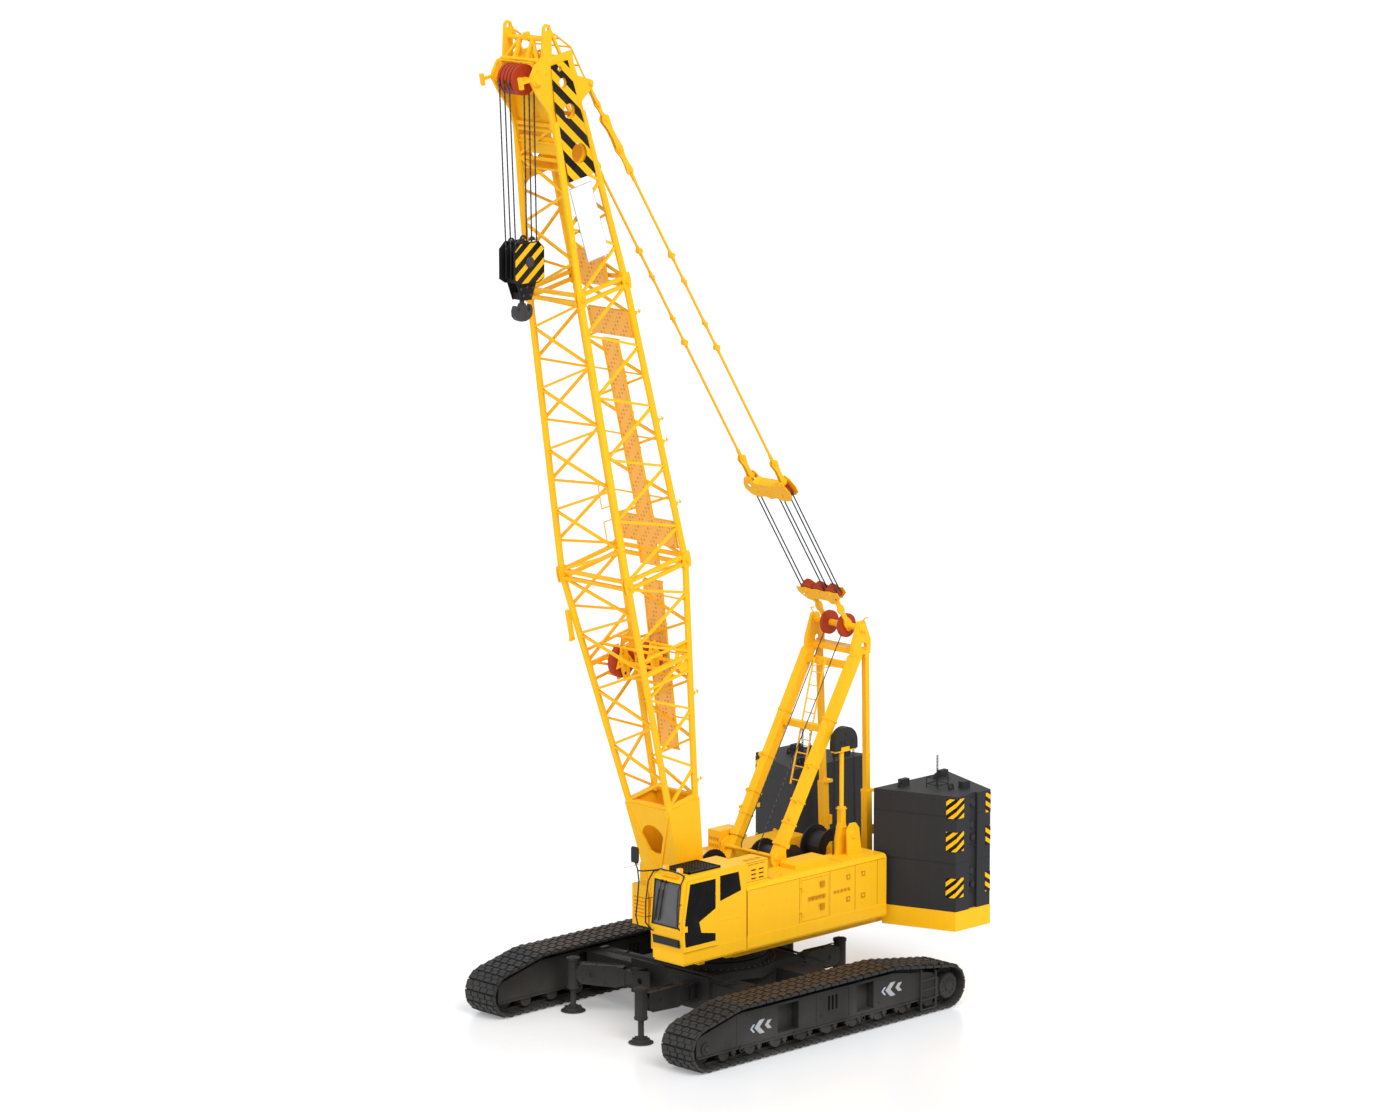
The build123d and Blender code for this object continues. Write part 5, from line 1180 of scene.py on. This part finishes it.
gantry, ladder = Shape(), Shape()
for side in SIDES:
    out, y = (0, side, 0), side * .73
    for z, grow, high in ((3.46, .030, .05), (3.86, .016, .02), (4.30, .016, .02), (5.0, .016, .02),
                          (5.9, .016, .02)):
        leg_y, s = side * (.62 + .06 * (z - FOOT.z) / (TOP.z - FOOT.z)), .104 + grow
        gantry.place = Matrix.Translation((leg_at(z), leg_y, z)) @ Matrix.Rotation(SLOPE, 4, "Y")
        gantry.box(-s, s, -s, s, -high, high)
    gantry.place = Matrix.Identity(4)
    for z, r in ((5.0, .06), (4.30, .04), (3.96, .04)):
        x = leg_at(z)
        gantry.sheet(arc(x + .13, z + .05, r, -60, 120, 8) + [(x - .02, z + .05), (x + .04, z - .10)],
                     [(x + .13, z + .05, r * .4)], .04, stood(y))
    # clevis over the foot and the tube between the legs
    gantry.sheet([(-1.34, 3.10), (-.98, 2.96), (-.88, 3.14), (-.90, 3.34), (-1.10, 3.44), (-1.30, 3.40)],
                 [(CLEVIS_X, CLEVIS_Z, .04)], .05, stood(side * .74))
    gantry.stud((CLEVIS_X, side * .70, CLEVIS_Z), out, .07, .08, .05, 14, .01)
    for z in (5.0, 4.16, 3.36):
        gantry.stud((-3.86, side * .70, z), out, .028, .022, .018, 10)
    gantry.box(-4.04, -3.80, side * .62 - .10, side * .62 + .10, 4.16, 4.22)
    gantry.box(-4.02, -3.93, side * .62 - .09, side * .62 + .09, 3.24, 3.44)
    # bolts, pin and eye at the top
    y, (pin_x, _, pin_z) = side * .725, HEAD_PIN
    for x, z in ((-3.46, 7.30), (-3.46, 7.62), (-3.74, 7.30), (-3.70, 7.66)):
        gantry.stud((x, y, z), out, .024, .012, .015)
    gantry.turned((pin_x, y, pin_z), out, [(0, .105), (.016, .105), (.022, .08), (.05, .07), (.054, .04)], 18)
    gantry.tube([(pin_x, y, 7.90), (pin_x, side * .80, 7.98), (-3.72, side * .80, 7.98)], .016, 6)
gantry.tube([(CLEVIS_X, -.72, CLEVIS_Z), (CLEVIS_X, .72, CLEVIS_Z)], .045, 10)
for z in (5.7, 6.97):
    gantry.box(leg_at(z) - .09, leg_at(z) + .02, -LADDER_Y, LADDER_Y, z - .05, z + .05)
gantry.done("gantry_fittings", "yellow", bevel=.003)
for y in (-LADDER_Y, LADDER_Y):
    ladder.tube([(LADDER_X, y, LADDER_Z), (-2.96, y, 6.66), (-3.08, y, 7.08)], .020, 6)
for k in range(RUNGS):
    z = LADDER_Z + .10 + k * RUNG_STEP
    ladder.tube([(ladder_at(z), -LADDER_Y, z), (ladder_at(z), LADDER_Y, z)], .013, 6)
for z in (5.7, 6.9):
    for y in (-LADDER_Y, LADDER_Y):
        ladder.tube([(ladder_at(z), y, z), (leg_at(z) + .02, y, z)], .012, 6)
ladder.done("gantry_ladder", "yellow")
cords = Shape()
for y in (-.25, .25):
    cords.tube([(-3.46, y, 7.55), (-1.01, y, 3.38), (-1.00, y, 3.27)], .011, 6)
cords.tube([(-2.80 + u, 0, 5.06 + v) for u, v in arc(0, 0, .055, -150, 110, 9)], .014, 6)
cords.box(-2.825, -2.775, -.03, .03, 5.12, 5.24)
cords.done("gantry_ropes", "rope")


# ================= luffing tackle =================
HEAD_SHEAVE = ((0, .22), (.002, .256), (.016, .256), (.026, .252), (.052, .252), (.062, .256), (.076, .256),
               (.078, .22))
reds = Shape()
for y in (-.25, .25):
    reds.turned((HEAD_PIN[0], y - .039, HEAD_PIN[2]), ACROSS, HEAD_SHEAVE, 28)
reds.done("gantry_head_sheaves", "red")
# each spreader: two plates along the line with three pairs of sheaves flat between them
FLAT_Y, FLAT_R = (-.35, 0, .37), .165         # middles and radius of the sheaves
LAYER, PLATE_W = .045, .105                   # sheaves and plates from the middle layer
FLANGE_R = FLAT_R + .008
FLAT_SHEAVE = ((0, FLAT_R - .05), (.003, FLANGE_R), (.024, FLANGE_R), (.042, FLAT_R - .012),
               (.060, FLANGE_R), (.081, FLANGE_R), (.084, FLAT_R - .05))
LOWER = [(-.60, .085), (-.46, .065), (-.35, .100), (-.17, .060), (0, .100), (.18, .060), (.37, .100),
         (.48, .065), (.60, .085), (.62, -.06), (.42, -.24), (.27, -.27), (.20, -.19), (-.20, -.19),
         (-.27, -.27), (-.42, -.24), (-.62, -.06)]
UPPER = [(-.57, .32), (-.47, .38), (-.38, .33), (-.35, .25), (-.27, .205), (.27, .205), (.35, .25),
         (.38, .33), (.47, .38), (.57, .32), (.67, .12), (.67, -.04), (.56, -.13), (.37, -.165),
         (.18, -.12), (0, -.165), (-.17, -.12), (-.35, -.165), (-.56, -.12), (-.67, .02), (-.67, .14)]
HEAD_ARM = [(-.11, -.03), (-.08, .09), (.08, .10), (.20, .055), (.34, .050), (.40, .085), (.50, .085),
            (.56, .05), (.86, .06), (.86, -.06), (.56, -.05), (.50, -.085), (.40, -.085), (.34, -.050),
            (.20, -.055), (.08, -.10), (-.08, -.09)]
for tag, body_name, d, outline, holes in (
        ("lower", "tackle_lower", LOW_D, LOWER, [(-PEND_Y, -.11, .03), (PEND_Y, -.11, .03)]),
        ("upper", "tackle_upper", UP_D, UPPER,
         [(-PEND_Y, EAR_D, .03), (PEND_Y, EAR_D, .03), (-.50, .13, .045)])):
    reds, plates = Shape(TACKLE), Shape(TACKLE)
    for y in FLAT_Y:
        for w in (-LAYER, LAYER):
            reds.turned((d, y, w - .042), UP, FLAT_SHEAVE, 24)
        plates.pin((d, y, -PLATE_W - .03), UP, PLATE_W * 2 + .06, .045, .028, .010)
    for w in (-PLATE_W, PLATE_W):
        plates.sheet([(y, d + u) for y, u in outline], [(y, d + u, r) for y, u, r in holes], .018,
                     Matrix(((0, 1, 0, 0), (1, 0, 0, 0), (0, 0, 1, w), (0, 0, 0, 1))))
    if tag == "upper":
        plates.box(d + .182, d + .202, -.27, .27, -PLATE_W, PLATE_W)
        for side in SIDES:
            plates.prism([(d + u, side * y, -PLATE_W) for u, y in
                          ((.202, .268), (.25, .35), (.235, .37), (.182, .272))], (0, 0, PLATE_W * 2))
            plates.pin((d + EAR_D, side * PEND_Y, -PLATE_W - .03), UP, PLATE_W * 2 + .06, .050, .035, .010)
    else:
        plates.box(d - .195, d - .175, -.22, .22, -PLATE_W, PLATE_W)
        for side in SIDES:
            # arms down to the head's pin
            plates.sheet(HEAD_ARM, [(0, 0, .062)], .045, stood(side * .3225))
            plates.pin((.45, side * .295, 0), (0, side, 0), .056, .05, .03, .004)
    reds.done("spreader_sheaves_" + tag, "red", body_name)
    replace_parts(plates.done("spreader_plates_" + tag, "yellow", body_name, .002), tag + "_spreader")
runs = (FLAT_Y[0] - FLAT_R, FLAT_Y[1] + FLAT_R, FLAT_Y[2] + FLAT_R)
lines = [(TACKLE @ Vector((LOW_D, y, w)), TACKLE @ Vector((UP_D, y, w)))
         for w in (-LAYER, LAYER) for y in runs]
taut("tackle_ropes", lines,
     "luffing_ropes")


# ================= camera, light and floor =================
def aim(ob, place, direction):
    turn = Vector(direction).to_track_quat("-Z", "Y").to_matrix().to_4x4()
    ob.matrix_world = Matrix.Translation(place) @ turn


def sun(name, direction, strength, angle):
    lamp = linked(name, bpy.data.lights.new(name, "SUN"))
    lamp.data.energy, lamp.data.angle = strength, math.radians(angle)
    aim(lamp, (0, 0, 30), direction)


def straight_rays(t):
    """One for rays from the camera, a gloss or a pane, and none for the rest."""
    path = t.add("ShaderNodeLightPath").outputs
    return t.math("MAXIMUM", path["Is Camera Ray"],
                  t.math("MAXIMUM", path["Is Glossy Ray"], path["Is Transmission Ray"]))


def make_floor():
    m, t, p = surface("studio_floor")
    n = t.noise(.3, 3.0)
    dress(t, p, {"Base Color": t.mix(n, (.80, .80, .805), (.83, .83, .83)),
                 "Roughness": t.ramp(n, 0, 1, .22, .30), "Emission Color": (1, 1, 1, 1),
                 "Emission Strength": t.math("MULTIPLY", straight_rays(t), .22)})
    bm = bmesh.new()
    bmesh.ops.create_grid(bm, x_segments=2, y_segments=2, size=700)
    me = bpy.data.meshes.new("studio_floor")
    bm.to_mesh(me)
    bm.free()
    me.materials.append(m)
    me.transform(Matrix.Translation((0, 0, -.002)))
    linked("studio_floor", me)


YAW, PITCH = math.radians(45.597), math.radians(10.794)
cam = linked("camera", bpy.data.cameras.new("camera"))
cam.data.lens, cam.data.sensor_width, cam.data.clip_end = 148.36, 36.0, 2000
aim(cam, (82.17, 83.43, 32.01),
    (-math.cos(YAW) * math.cos(PITCH), -math.sin(YAW) * math.cos(PITCH), -math.sin(PITCH)))
bpy.context.scene.camera = cam
sun("key", (-.25, -.80, -.85), 1.9, 35)
sun("fill", (-.90, -.15, -.45), .8, 60)

world = bpy.data.worlds.new("studio")
world.use_nodes = True
t = Tree(world.node_tree)
seen = straight_rays(t)
dress(t, world.node_tree.nodes["Background"],
      {"Color": t.mix(seen, (.93, .96, 1.0), (1, 1, 1)), "Strength": t.ramp(seen, 0, 1, .62, 1.0)})
bpy.context.scene.world = world
bpy.context.scene.view_settings.view_transform = "Standard"
make_floor()
